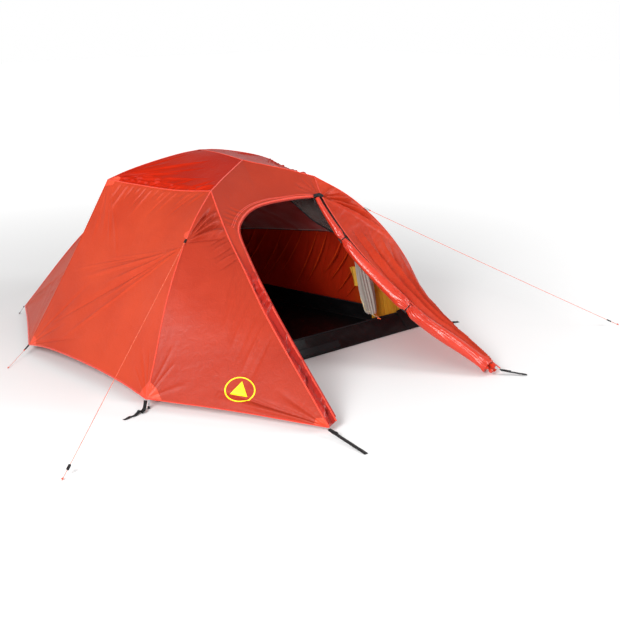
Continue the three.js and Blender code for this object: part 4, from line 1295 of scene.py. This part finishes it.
# The zip runs along the underside of the door's lip, its coil facing out.
lip_route = door_lip.at(np.linspace(0.01, 0.985, 900))
lip_out = outward(lip_route)
lip_ahead = unit(np.gradient(lip_route, axis=0))
lip_in = unit(np.cross(lip_ahead, lip_out))
if (lip_in * (p(0, -700, 400) - lip_route)).sum() < 0:
    lip_in = -lip_in
coil_route = lip_route + lip_in * 0.009 - lip_out * 0.002
coil_scale = 1 + 0.16 * np.sin(np.arange(900) * 2.1)
settled(
    sweep("door_zip_coil", coil_route, ZIP, oval(0.0042, 0.003, 6), up=lip_out, scale=coil_scale), "shell")
tape_route = lip_route[::6] + lip_in[::6] * 0.006 - lip_out[::6] * 0.0042
settled(sweep("door_zip_tape", tape_route, BAND, flat(0.014, 0.0008), up=lip_out[::6]), "shell")


def box_centre(node):
    low, high = (np.array(q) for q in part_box(node))
    return (low + high) / 2


t = np.linspace(-1, 1, 15)
slider_route = box_centre("door_zip_slider") + t[:, None] * p(7, 0, 0)
slider = sweep(
    "door_zip_slider_body", slider_route, PLASTIC, flat(0.010, 0.008), up=np.tile((0, 0, 1.0), (15, 1)),
    scale=0.62 + 0.38 * (1 - t**2) ** 0.5)
settled(slider, "black_plastic", "door_zip_slider")
pull_axes = (np.array((0, 0, 1.0)), np.array((1.0, 0, 0)), np.array((0, 1.0, 0)))
pull_holes = [ring_points((0.0115, 0), 0.0015, 0.0015, 10), ring_points((-0.010, 0), 0.0028, 0.0016, 12)]
pull = bevelled_plate(
    "door_zip_pull_tab", box_centre("door_zip_pull"), pull_axes, rounded(0.015, 0.0035, 0.0025), pull_holes,
    0.002, PLASTIC)
settled(pull, "black_plastic", "door_zip_pull", body="door_zip_pull")

# A webbing tab carries the load where the door's lip meets the roll.
tab_route = Line(
    *(DOOR_TOP_RIGHT + q for q in (p(-46, -6, 4), p(-18, -8, 7), p(8, -9, 6), p(26, -16, -10)))).at(steps(24))
tab_up = np.tile((-0.25, -0.9, 0.35), (24, 1))
settled(sweep("door_corner_tab", tab_route, WEBBING, flat(0.020, 0.002), up=tab_up), "webbing")


# ------------------------------------------------------------------ patches, guy tabs and mark
def patch_on(name, panel_key, corners):
    """A reinforcement sewn on a panel, from four corners in shares of the left panel's own width and height."""
    s, t = np.meshgrid(steps(28), steps(28))
    u, w = (
        (1 - s) * (1 - t) * a + s * (1 - t) * b + s * t * c + (1 - s) * t * d for a, b, c, d in zip(*corners))
    if panel_key.endswith("right"):
        u = 1 - u
    grid, out = at_panel(panel_key, u, w, 0.0009)
    settled(cloth(name, grid, out, PATCH, 0.0007), "shell")


for side, _ in SIDES:
    for name, key, corners in (
        ("brow_patch_roof", "roof", ((1.0, 0.0), (1.0, 0.055), (0.90, 0.035), (0.90, 0.0))),
        ("brow_patch_wall", "wall", ((1.0, 1.0), (1.0, 0.96), (0.93, 0.975), (0.93, 1.0))),
        ("foot_patch_wall", "wall", ((0.0, 0.0), (0.055, 0.0), (0.03, 0.045), (0.0, 0.075))),
        ("pull_patch", "wall", ((1.0, 0.0), (1.0, 0.06), (0.965, 0.04), (0.93, 0.0))),
        ("guy_patch", "wall", ((0.0, 0.70), (0.035, 0.715), (0.035, 0.735), (0.0, 0.75))),
    ):
        patch_on(f"{name}_{side}", f"{key}_{side}", corners)
for side, _ in SIDES:
    foot = ((0.0, 0.0), (0.0, 0.07), (0.05, 0.045), (0.09, 0.0))
    patch_on(f"foot_patch_porch_{side}", f"porch_{side}", foot)
patch_on("corner_patch_porch_left", "porch_left", ((1.0, 0.0), (1.0, 0.035), (0.95, 0.03), (0.92, 0.0)))


FACING_WIDTH = 0.045


def door_facing():
    """The facing that follows the door's top edge, of an even width, and its double seam."""
    rise = np.linalg.norm(np.diff(FLY["awning"][0], axis=0), axis=2).sum(0)
    across = steps(160)
    share = FACING_WIDTH / np.maximum(np.interp(across, steps(len(rise)), rise), 0.09)
    grid, out = at_panel("awning", np.tile(across, (12, 1)), steps(12)[:, None] * share, 0.0016)
    settled(cloth("door_facing_cloth", grid, out, PORCH, 0.0008), "shell")
    for label, height in (("upper", 1.0), ("lower", 0.72)):
        line, normal = at_panel("awning", across, height * share, 0.0024)
        settled(
            sweep(f"door_facing_seam_{label}", line, PIPING, oval(0.0045, 0.003, 8), up=normal), "shell")


door_facing()


def mark_on(name, panel_key, centre, shapes):
    """Ink printed on a panel. Each shape is a closed strip of (inner, outer) points about the centre, in metres."""
    u0, w0 = centre
    middle, _ = at_panel(panel_key, np.array(u0), np.array(w0))
    step = 0.01
    along = (at_panel(panel_key, np.array(u0 + step), np.array(w0))[0] - middle) / step
    above = (at_panel(panel_key, np.array(u0), np.array(w0 + step))[0] - middle) / step
    x_axis = unit(along)
    z_axis = unit(above - x_axis * (above @ x_axis))
    basis = np.array([[along @ x_axis, above @ x_axis], [along @ z_axis, above @ z_axis]])
    solve = np.linalg.inv(basis)
    points, faces, base = [], [], 0
    for inner, outer in shapes:
        bands = [np.asarray(inner) * (1 - k / 4) + np.asarray(outer) * (k / 4) for k in range(5)]
        flat_points = np.concatenate(bands) @ solve.T
        spots, normal = at_panel(panel_key, u0 + flat_points[:, 0], w0 + flat_points[:, 1], 0.0006)
        count = len(inner)
        points += [spots, spots - normal * 0.0004]
        number = np.arange(5 * count).reshape(5, count)
        following = np.roll(number, -1, 1)
        quads = np.stack([number[:-1], following[:-1], following[1:], number[1:]], -1).reshape(-1, 4) + base
        faces += quads[:, ::-1].tolist() + (quads + 5 * count).tolist()
        for row in (0, 4):
            wall = np.stack(
                [number[row], following[row], following[row] + 5 * count, number[row] + 5 * count],
                -1) + base
            faces += (wall if row else wall[:, ::-1]).tolist()
        base += 10 * count
    settled(add_object(name, np.concatenate(points), faces, INK), "shell")


def circle(radius, count=72):
    angle = np.arange(count) * 2 * math.pi / count
    return np.stack([np.cos(angle) * radius, np.sin(angle) * radius * 0.8], -1)


def triangle(size, count=24):
    corners = np.array([(-0.9, -0.6), (0.9, -0.6), (0.0, 0.85)]) * size
    t = steps(count, endpoint=False)[:, None]
    return np.concatenate([corners[k] * (1 - t) + corners[(k + 1) % 3] * t for k in range(3)])


mark_on("printed_mark", "porch_left", (0.548, 0.092), [
    (circle(0.080), circle(0.088)),
    (triangle(0.001), triangle(0.056)),
])


# ------------------------------------------------------------------ inner tent
LIP_FRONT, LIP_REAR = p(-955, -458, 120), p(-645, 1568, 120)
FLOOR_FRONT, FLOOR_REAR = p(-1000, -515, 6), p(-665, 1590, 6)
WALL_FRONT, WALL_REAR = p(-885, -372, 600), p(-330, 1450, 340)
INNER_REAR_PEAK = p(0, 1480, 440)
ZIP_FOOT, ZIP_WAIST, CORNER_WAIST = p(-690, -450, 124), p(-738, -290, 465), p(-912, -396, 465)
wall_top = Line(
    WALL_FRONT, p(-800, 0, 620), p(-745, 307, 598), p(-575, 850, 545), p(-440, 1180, 440), WALL_REAR)
inner_spine = Line(
    p(0, 20, 1118), p(0, 300, 1145), p(0, 560, 1115), p(0, 970, 960), p(0, 1200, 790), p(0, 1380, 590), INNER_REAR_PEAK
)
corner_seam = Line(WALL_FRONT, p(-742, -280, 800), p(-455, -160, 1012), p(-60, 10, 1108))
inner_zip = Line(ZIP_WAIST, p(-628, -210, 638), p(-436, -145, 774), p(-289, -76, 918), p(-60, -8, 1060))


def gathers(grid, count, depth, lean, seed, from_top=True):
    """Uneven pleats that run from a wall's top edge, or from its foot, where it is gathered on to its tape."""
    pick = np.random.default_rng(seed)
    rows, columns = grid.shape[:2]
    u, w = steps(columns)[None], steps(rows)[:, None]
    height = np.zeros((rows, columns))
    for _ in range(count):
        where, wide = pick.uniform(0, 1), pick.uniform(0.004, 0.011)
        tilt = lean * pick.uniform(0.7, 1.3)
        run = u - where + tilt * (1 - w) + 0.02 * np.sin(3 * w + where * 20)
        reach = smooth(0.0, pick.uniform(0.5, 0.95), w if from_top else 1 - w)
        depth_share = pick.choice((-1, 1), p=(0.35, 0.65)) * pick.uniform(0.4, 1.0)
        height += depth_share * np.exp(-((run / wide) ** 2)) * reach
    return height * depth


def slanting_pleats(grid, turn, seed):
    """Long pleats that slant from the wall's top tape towards the foot of the tent."""
    pick = np.random.default_rng(seed)
    height = np.zeros(grid.shape[:2])
    for share in np.linspace(0.02, 0.92, 22):
        start = turn(wall_top.at(share + pick.uniform(-0.012, 0.012)))
        foot = LIP_FRONT + (LIP_REAR - LIP_FRONT) * min(1.0, share + pick.uniform(0.10, 0.16))
        end = start + (turn(foot) - start) * pick.uniform(0.75, 1.1)
        height += pick.uniform(0.5, 1.0) * fold(grid, start, end, 0.013, 0.012, fade=(0.02, 0.5))
    return height


def inner_panel(name, grid, height, material, slot, reach):
    shaped = relief(grid, normals(grid, INNER_MIDDLE), height, reach)
    shaped = shaped - normals(shaped, INNER_MIDDLE) * 0.0008
    item = cloth(name + "_cloth", shaped, normals(shaped, INNER_MIDDLE), material, 0.0009)
    settled(item, slot, name)
    lay_sheet(shaped)


def inner_walls():
    """The inner tent's walls and net, which stand on the tub's lip."""
    lip_front, lip_rear = LIP_FRONT + p(0, 0, 2), LIP_REAR + p(0, 0, 2)
    front_edge, rear_edge = Line(lip_front, CORNER_WAIST, WALL_FRONT), Line(lip_rear, WALL_REAR)
    wall = coons(Line(lip_front, lip_rear), wall_top, front_edge, rear_edge, 230, 44)
    net = coons(wall_top, inner_spine, corner_seam, Line(WALL_REAR, INNER_REAR_PEAK), 90, 50)
    lower = coons(
        Line(lip_front, ZIP_FOOT), Line(CORNER_WAIST, ZIP_WAIST), Line(lip_front, CORNER_WAIST),
        Line(ZIP_FOOT, p(-745, -350, 330), ZIP_WAIST), 60, 60)
    upper = coons(
        Line(CORNER_WAIST, ZIP_WAIST), Line(p(-60, 10, 1108), p(-60, -8, 1060)),
        Line(CORNER_WAIST, *corner_seam.points), inner_zip, 40, 110)
    for (side, turn), seed, lean in zip(SIDES, (60, 80), (0.16, -0.16)):
        grid = turn(wall)
        folds = slanting_pleats(grid, turn, seed) + crumple(grid, seed, 0.12, 0.0015)
        inner_panel(f"inner_wall_{side}", grid, folds, INNER_WALL_RED_LIGHT, "inner", 0.012)
        grid = turn(net)
        folds = crumple(grid, seed + 1, 0.25, 0.004) + gathers(grid, 12, 0.006, lean, seed + 3, False)
        grid = belly(grid, normals(grid), 0.075)
        inner_panel(f"inner_mesh_{side}", grid, folds, NET_IN_RED_LIGHT, "mesh", 0.03)
        grid = turn(lower)
        folds = gathers(grid, 14, 0.006, 0.05, seed + 5, False) + crumple(grid, seed + 6, 0.1, 0.002)
        inner_panel(f"inner_front_lower_{side}", grid, folds, YELLOW, "inner", 0.012)
        grid = turn(upper)
        folds = crumple(grid, seed + 8, 0.14, 0.004) + gathers(grid, 8, 0.006, 0.02, seed + 9)
        inner_panel(f"inner_front_mesh_{side}", grid, folds, NET, "mesh", 0.02)
    rear = coons(
        Line(lip_rear, mirrored(lip_rear)), Line(
            WALL_REAR, INNER_REAR_PEAK, mirrored(WALL_REAR)), rear_edge,
        mirrored(rear_edge), 90, 30)
    folds = gathers(rear, 16, 0.006, 0.02, 99) + crumple(rear, 98, 0.12, 0.002)
    inner_panel("inner_rear", rear, folds, YELLOW, "inner", 0.02)


def tub():
    """The floor and its four raised walls."""
    for name, foot, lip in (("tub_front", FLOOR_FRONT, LIP_FRONT), ("tub_rear", FLOOR_REAR, LIP_REAR)):
        grid = quad(foot, mirrored(foot), lip, mirrored(lip), 150, 14)
        folds = crumple(grid, 110, 0.16, 0.006) + gathers(grid, 14, 0.004, 0.03, 111)
        inner_panel(name, grid, folds, TUB, "tub", 0.02)
    for (side, turn), seed in zip(SIDES, (120, 130)):
        grid = turn(quad(FLOOR_FRONT, FLOOR_REAR, LIP_FRONT, LIP_REAR, 150, 14))
        inner_panel(
            f"tub_side_{side}", grid, crumple(grid, seed, 0.16, 0.006), TUB, "tub", 0.02)
    floor = quad(FLOOR_FRONT, mirrored(FLOOR_FRONT), FLOOR_REAR, mirrored(FLOOR_REAR), 90, 90)
    floor[..., 2] = 0.0035
    floor[..., 2] += np.abs(crumple(floor, 140, 0.35, 0.004)) * edge_mask(floor, 0.04)
    item = cloth("tub_floor_cloth", floor, np.tile((0, 0, 1.0), (*floor.shape[:2], 1)), TUB, 0.0015)
    settled(item, "tub", "tub_floor")
    lay_sheet(floor)


inner_walls()
tub()


def inner_seam(name, line, width, height, material=WEBBING, slot="webbing"):
    route = line.at(steps(max(12, int(line.length / INNER_SEAM_STEP))))
    settled(sweep(name, route, material, flat(width, height), up=outward(route, INNER_MIDDLE)), slot)


for side, turn in SIDES:
    inner_seam(f"inner_wall_tape_{side}", turn(wall_top), 0.012, 0.003)
    inner_seam(f"inner_corner_tape_{side}", turn(corner_seam), 0.012, 0.003)
    inner_seam(f"inner_zip_tape_{side}", turn(inner_zip), 0.016, 0.003)
    inner_seam(f"tub_lip_tape_{side}", turn(Line(LIP_FRONT, LIP_REAR)), 0.008, 0.005, TUB_PATCH, "tub")
    inner_seam(f"tub_floor_seam_{side}", turn(Line(FLOOR_FRONT, FLOOR_REAR)), 0.016, 0.008, TUB, "tub")
inner_seam("inner_spine_tape", inner_spine, 0.014, 0.003)
front_lip = Line(LIP_FRONT, LIP_FRONT * (0.5, 1, 1), mirrored(LIP_FRONT))
inner_seam("tub_front_lip_tape", front_lip, 0.010, 0.006, TUB_PATCH, "tub")


def wall_tucks(side, turn):
    """The edges of the tucks that take up the inner wall's fullness under its top tape, in a brighter cloth that paints
    the light caught on their ridges.
    """
    pick = np.random.default_rng(33)
    for k, share in enumerate(np.linspace(0.02, 0.86, 17)):
        share += pick.uniform(-0.012, 0.012)
        top = wall_top.at(share)
        foot = LIP_FRONT + (LIP_REAR - LIP_FRONT) * min(0.98, share + pick.uniform(0.17, 0.24))
        sag = steps(24)[:, None]
        route = top + (foot - top) * sag * pick.uniform(0.62, 0.95)
        route = route + p(24, -46, 0) * np.sin(math.pi * sag) * pick.uniform(0.5, 1.0) + p(10, 0, 0)
        radius = 0.0042 * np.sin(np.pi * np.clip(sag[:, 0] * 0.86 + 0.06, 0, 1)) + 0.0004
        settled(tapered(f"inner_tuck_{side}_{k:02d}", turn(route), radius, TUCK), "inner")


def tapered(name, route, radius, material):
    """A thin round thread whose radius changes along a route."""
    side, up = level_axes(unit(np.gradient(route, axis=0)))
    angle = np.linspace(0, 2 * math.pi, 8, endpoint=False)
    ring = np.cos(angle)[None, :, None] * side[:, None] + np.sin(angle)[None, :, None] * up[:, None]
    points = route[:, None] + radius[:, None, None] * ring
    return add_object(name, points.reshape(-1, 3).tolist(), tube_faces(len(route), 8), material)


for side, turn in SIDES:
    wall_tucks(side, turn)


def tub_gusset(side, turn):
    """The black triangle of floor cloth that ties the sill's end to the pole's foot."""
    low, high = FLOOR_FRONT + p(-84, -12, 2), LIP_FRONT + p(-62, 6, 34)
    root, lip = FLOOR_FRONT + p(30, 0, 0), LIP_FRONT + p(46, 0, 14)
    grid = turn(quad(root, low, lip, high, 16, 16)) + p(0, -3, 0)
    settled(cloth(f"tub_gusset_{side}", grid, normals(grid, INNER_MIDDLE), TUB, 0.0012), "tub")


for side, turn in SIDES:
    tub_gusset(side, turn)


def sill_patch(name, x0, x1, low, high):
    """A doubled rectangle on the outside of the tub's front."""
    s, t = np.meshgrid(np.linspace(x0, x1, 30), np.linspace(low, high, 10))
    grid = FLOOR_FRONT + (LIP_FRONT - FLOOR_FRONT) * t[..., None]
    grid[..., 0] = s
    grid[..., 1] -= 0.008
    settled(cloth(name, grid, normals(grid, INNER_MIDDLE), TUB_PATCH, 0.0008), "tub")


sill_patch("tub_sill_patch_left", -0.42, -0.05, 0.62, 0.95)
sill_patch("tub_sill_patch_middle", -0.02, 0.34, 0.15, 0.50)


def gathered_door():
    """The unzipped inner door: net bunched into deep hanging pleats, wider at its foot."""
    line = Line(p(668, -352, 500), p(650, -420, 360), p(648, -478, 180))
    count, sides = 90, 120
    centre = line.at(steps(count))
    side, up = unit(np.array((1.0, 0.1, 0))) * 1.12, unit(np.array((-0.1, 1.0, 0.25))) * 0.8
    angle = np.linspace(0, 2 * math.pi, sides, endpoint=False)[None]
    t = steps(count)[:, None]
    base = 0.026 + 0.020 * np.sin(math.pi * (0.15 + 0.7 * t))
    pleat = 0.16 * np.sin(13 * angle + 2.0 * np.sin(2.2 * t + 1)) + 0.09 * np.sin(7 * angle - 3 * t)
    radius = (base * (1 + pleat))[..., None]
    points = centre[:, None] + radius * (np.cos(angle)[..., None] * side + np.sin(angle)[..., None] * up)
    uv = np.stack(np.meshgrid(np.arange(sides) * 0.002, np.arange(count) * 0.0037), -1).reshape(-1, 2)
    item = add_object("gathered_inner_door_net", points.reshape(-1, 3), tube_faces(count, sides), BUNCH, uv)
    settled(item, "mesh", "gathered_inner_door")
    edge = Line(p(612, -400, 330), p(600, -452, 240), p(640, -505, 168), p(700, -500, 138))
    settled(sweep("inner_door_edge_tape", edge.at(steps(40)), CREAM, oval(0.007, 0.005, 8)), "inner")
    loop_line = Line(
        p(606, -448, 262), p(590, -470, 225), p(600, -486, 196), p(622, -480, 205), p(618, -456, 240))
    settled(sweep("inner_door_edge_loop", loop_line.at(steps(40)), CREAM, oval(0.008, 0.004, 8)), "inner")
    s, w = np.meshgrid(steps(16), steps(30))
    grid = p(604, -318, 462) + s[..., None] * p(34, -20, 4) + w[..., None] * p(6, -50, -120)
    grid[..., 1] -= 0.006 * np.sin(s * 9 + w * 4)
    settled(cloth("inner_door_facing", grid, normals(grid, p(600, 400, 400)), YELLOW, 0.0009), "inner")


gathered_door()
toggle_centre = toggle_piece("inner_door_toggle", ORANGE, "orange_plastic")[0]
keeper = Line(
    p(662, -500, 190), p(648, -520, 176), toggle_centre + p(0, 4, 2), toggle_centre + p(6, 22, -8), p(690, -505, 150))
settled(sweep("inner_door_keeper_loop", keeper.at(steps(30)), CORD, oval(0.0022, 0.0022, 6)), "cord")


# ------------------------------------------------------------------ poles
for material, names in (
    (METAL, ("pole_leg_left", "pole_leg_right", "pole_spine", "pole_brow")),
    (PLASTIC, ("pole_tip_left", "pole_tip_right", "pole_tip_rear", "front_hub", "brow_swivel")),
):
    for name in names:
        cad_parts[name].data.materials.clear()
        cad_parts[name].data.materials.append(material)


# ------------------------------------------------------------------ straps and buckles
def strap(name, points, node, width=0.024, thick=0.0017, body=BODY, twist=0.0):
    """A webbing strap through its points, which stands for a CAD node if one is named."""
    route = Line(*points)
    count = max(24, int(route.length / 0.004))
    spots = route.at(steps(count))
    ahead = unit(np.gradient(spots, axis=0))
    level = unit(np.cross(ahead, (0, 0, 1.0)))
    average = unit(level.mean(0))
    up = unit(np.cross(average[None], ahead))
    turn = np.linspace(0, twist, count)[:, None]
    up = unit(up * np.cos(turn) + np.cross(ahead, up) * np.sin(turn))
    if up[:, 2].mean() < 0:
        up = -up
    item = sweep(name, spots, WEBBING, flat(width, thick), up=up)
    settled(item, "webbing", *((node,) if node else ()), body=body)


STRAP_RUN = (
    p(-6, -2, -8), p(-14, -6, -34), p(-24, -10, -52), p(-46, -16, -60), p(-60, -22, -46), p(-76, -26, -56),
    p(-100, -32, -63.5), p(-130, -36, -60), p(-158, -40, -64.6), p(-176, -42, -64.8),
)
TAIL_RUN = (p(-24, -12, -46), p(-40, -34, -50), p(-52, -30, -58), p(-40, -14, -62))
REAR_RUN = (p(0, 4, -10), p(0, 12, -34), p(0, 24, -50), p(0, 44, -53.6), p(0, 74, -54))
for side, turn in SIDES:
    route, tail = ([turn(FRONT_FOOT + q) for q in run] for run in (STRAP_RUN, TAIL_RUN))
    strap(f"front_strap_{side}_webbing", route, f"front_strap_{side}", twist=0.18)
    strap(f"front_strap_{side}_tail", tail, None, width=0.018)
strap("rear_strap_webbing", [REAR_FOOT + q for q in REAR_RUN], "rear_strap")


def ladder_buckle(side, start, end):
    """A ladder-lock buckle: two rails, three bars and a lifting lip."""
    ahead, across, up = aimed(start, end)
    centre = start + ahead * 0.039
    outline = rounded(0.0105, 0.0148, 0.003)
    holes = [[(x + shift, y) for x, y in rounded(0.0022, 0.0116, 0.001)] for shift in (-0.0048, 0.0048)]
    rails = bevelled_plate(
        f"porch_buckle_{side}_frame", centre + up * 0.0026, (ahead, across, up), outline, holes, 0.0035, PLASTIC)
    settled(rails, "black_plastic", f"porch_buckle_{side}")
    lip = bevelled_plate(
        f"porch_buckle_{side}_lip", centre + ahead * 0.0125 + up * 0.0035,
        (unit(ahead + up * 0.35), across, unit(up - ahead * 0.35)), rounded(0.004, 0.0138, 0.002), [], 0.0025, PLASTIC)
    settled(lip, "black_plastic")
    loop_route = Line(
        start - ahead * 0.012 + up * 0.0045, start + ahead * 0.012 + up * 0.0055,
        centre - ahead * 0.0065 + up * 0.0055).at(steps(16))
    loop = sweep(
        f"porch_corner_loop_{side}", loop_route, WEBBING, flat(0.020, 0.0016), up=np.tile(up, (16, 1)))
    settled(loop, "webbing")


porch_start, porch_end = p(-708, -1512, 22), p(-756, -1819, 2)
right_start = mirrored(porch_start)
right_end = right_start + unit(p(783, -1612, 7) - right_start) * 0.150
for side, start, end in (("left", porch_start, porch_end), ("right", right_start, right_end)):
    ahead, across, up = aimed(start, end)
    run = np.linalg.norm(end - start)
    wave = (0, 0.0006, 0, -0.0002, 0.0004, 0, 0.0008, 0)
    points = [start + ahead * (-0.006 + (run + 0.006) * k / 7) + up * lift for k, lift in enumerate(wave)]
    strap(
        f"porch_strap_{side}_webbing", points, f"porch_strap_{side}", body=f"porch_strap_{side}",
        thick=0.0016)
    ladder_buckle(side, start, end)


# ------------------------------------------------------------------ studio
FLOOR_REACH = 30


def studio_floor():
    """A white ground that glows a little with distance, so that it meets the white world."""
    white = Nodes("studio_floor")
    grain = white.noise(white.place(False), 3, 2)
    tone = white.mix(white.range(grain, 0.0, 0.15), srgb(248, 248, 248), srgb(240, 240, 240))
    far = white.add("ShaderNodeVectorMath", {0: white.place(False)}, operation="LENGTH")
    glow = white.add("ShaderNodeMapRange", {
        "From Min": 2.2, "From Max": 6.5, "To Min": 0.0, "To Max": 0.5, "Value": far.outputs["Value"]})
    white.set(
        Base_Color=tone, Roughness=0.85, Emission_Color=(1.0, 1.0, 1.0, 1),
        Emission_Strength=glow.outputs[0])
    corners = [(x * FLOOR_REACH, y * FLOOR_REACH, -0.001) for x, y in ((-1, -1), (1, -1), (1, 1), (-1, 1))]
    add_object("studio_floor", corners, [(0, 1, 2, 3)], white.material)


def studio_world():
    """White at the horizon and greyer overhead."""
    world = bpy.data.worlds.new("studio")
    world.use_nodes = True
    tree = world.node_tree
    sky = tree.nodes["Background"]
    sky.inputs["Color"].default_value = (1.0, 1.0, 1.0, 1)
    place, split, fade = (
        tree.nodes.new("ShaderNode" + kind) for kind in ("TexCoord", "SeparateXYZ", "MapRange"))
    fade.interpolation_type = "SMOOTHSTEP"
    for socket, value in (("From Min", 0.05), ("From Max", 0.45), ("To Min", 1.0), ("To Max", 0.5)):
        fade.inputs[socket].default_value = value
    tree.links.new(place.outputs["Generated"], split.inputs[0])
    tree.links.new(split.outputs["Z"], fade.inputs["Value"])
    tree.links.new(fade.outputs[0], sky.inputs["Strength"])
    bpy.context.scene.world = world


def studio_lights():
    for name, spot, size, power, aim_at in (
        ("key", (-6.5, -3.6, 3.6), 2.4, 560, (0, 0, 0.5)),
        ("front", (4.6, -4.6, 2.6), 2.0, 170, (0.6, -0.6, 0.5)),
    ):
        data = bpy.data.lights.new(name, "AREA")
        data.size, data.energy = size, power
        light = bpy.data.objects.new(name, data)
        light.location = spot
        light.rotation_euler = (Vector(aim_at) - Vector(spot)).to_track_quat("-Z", "Y").to_euler()
        bpy.context.collection.objects.link(light)


studio_floor()
studio_world()
studio_lights()
bpy.context.scene.view_settings.view_transform = "Standard"
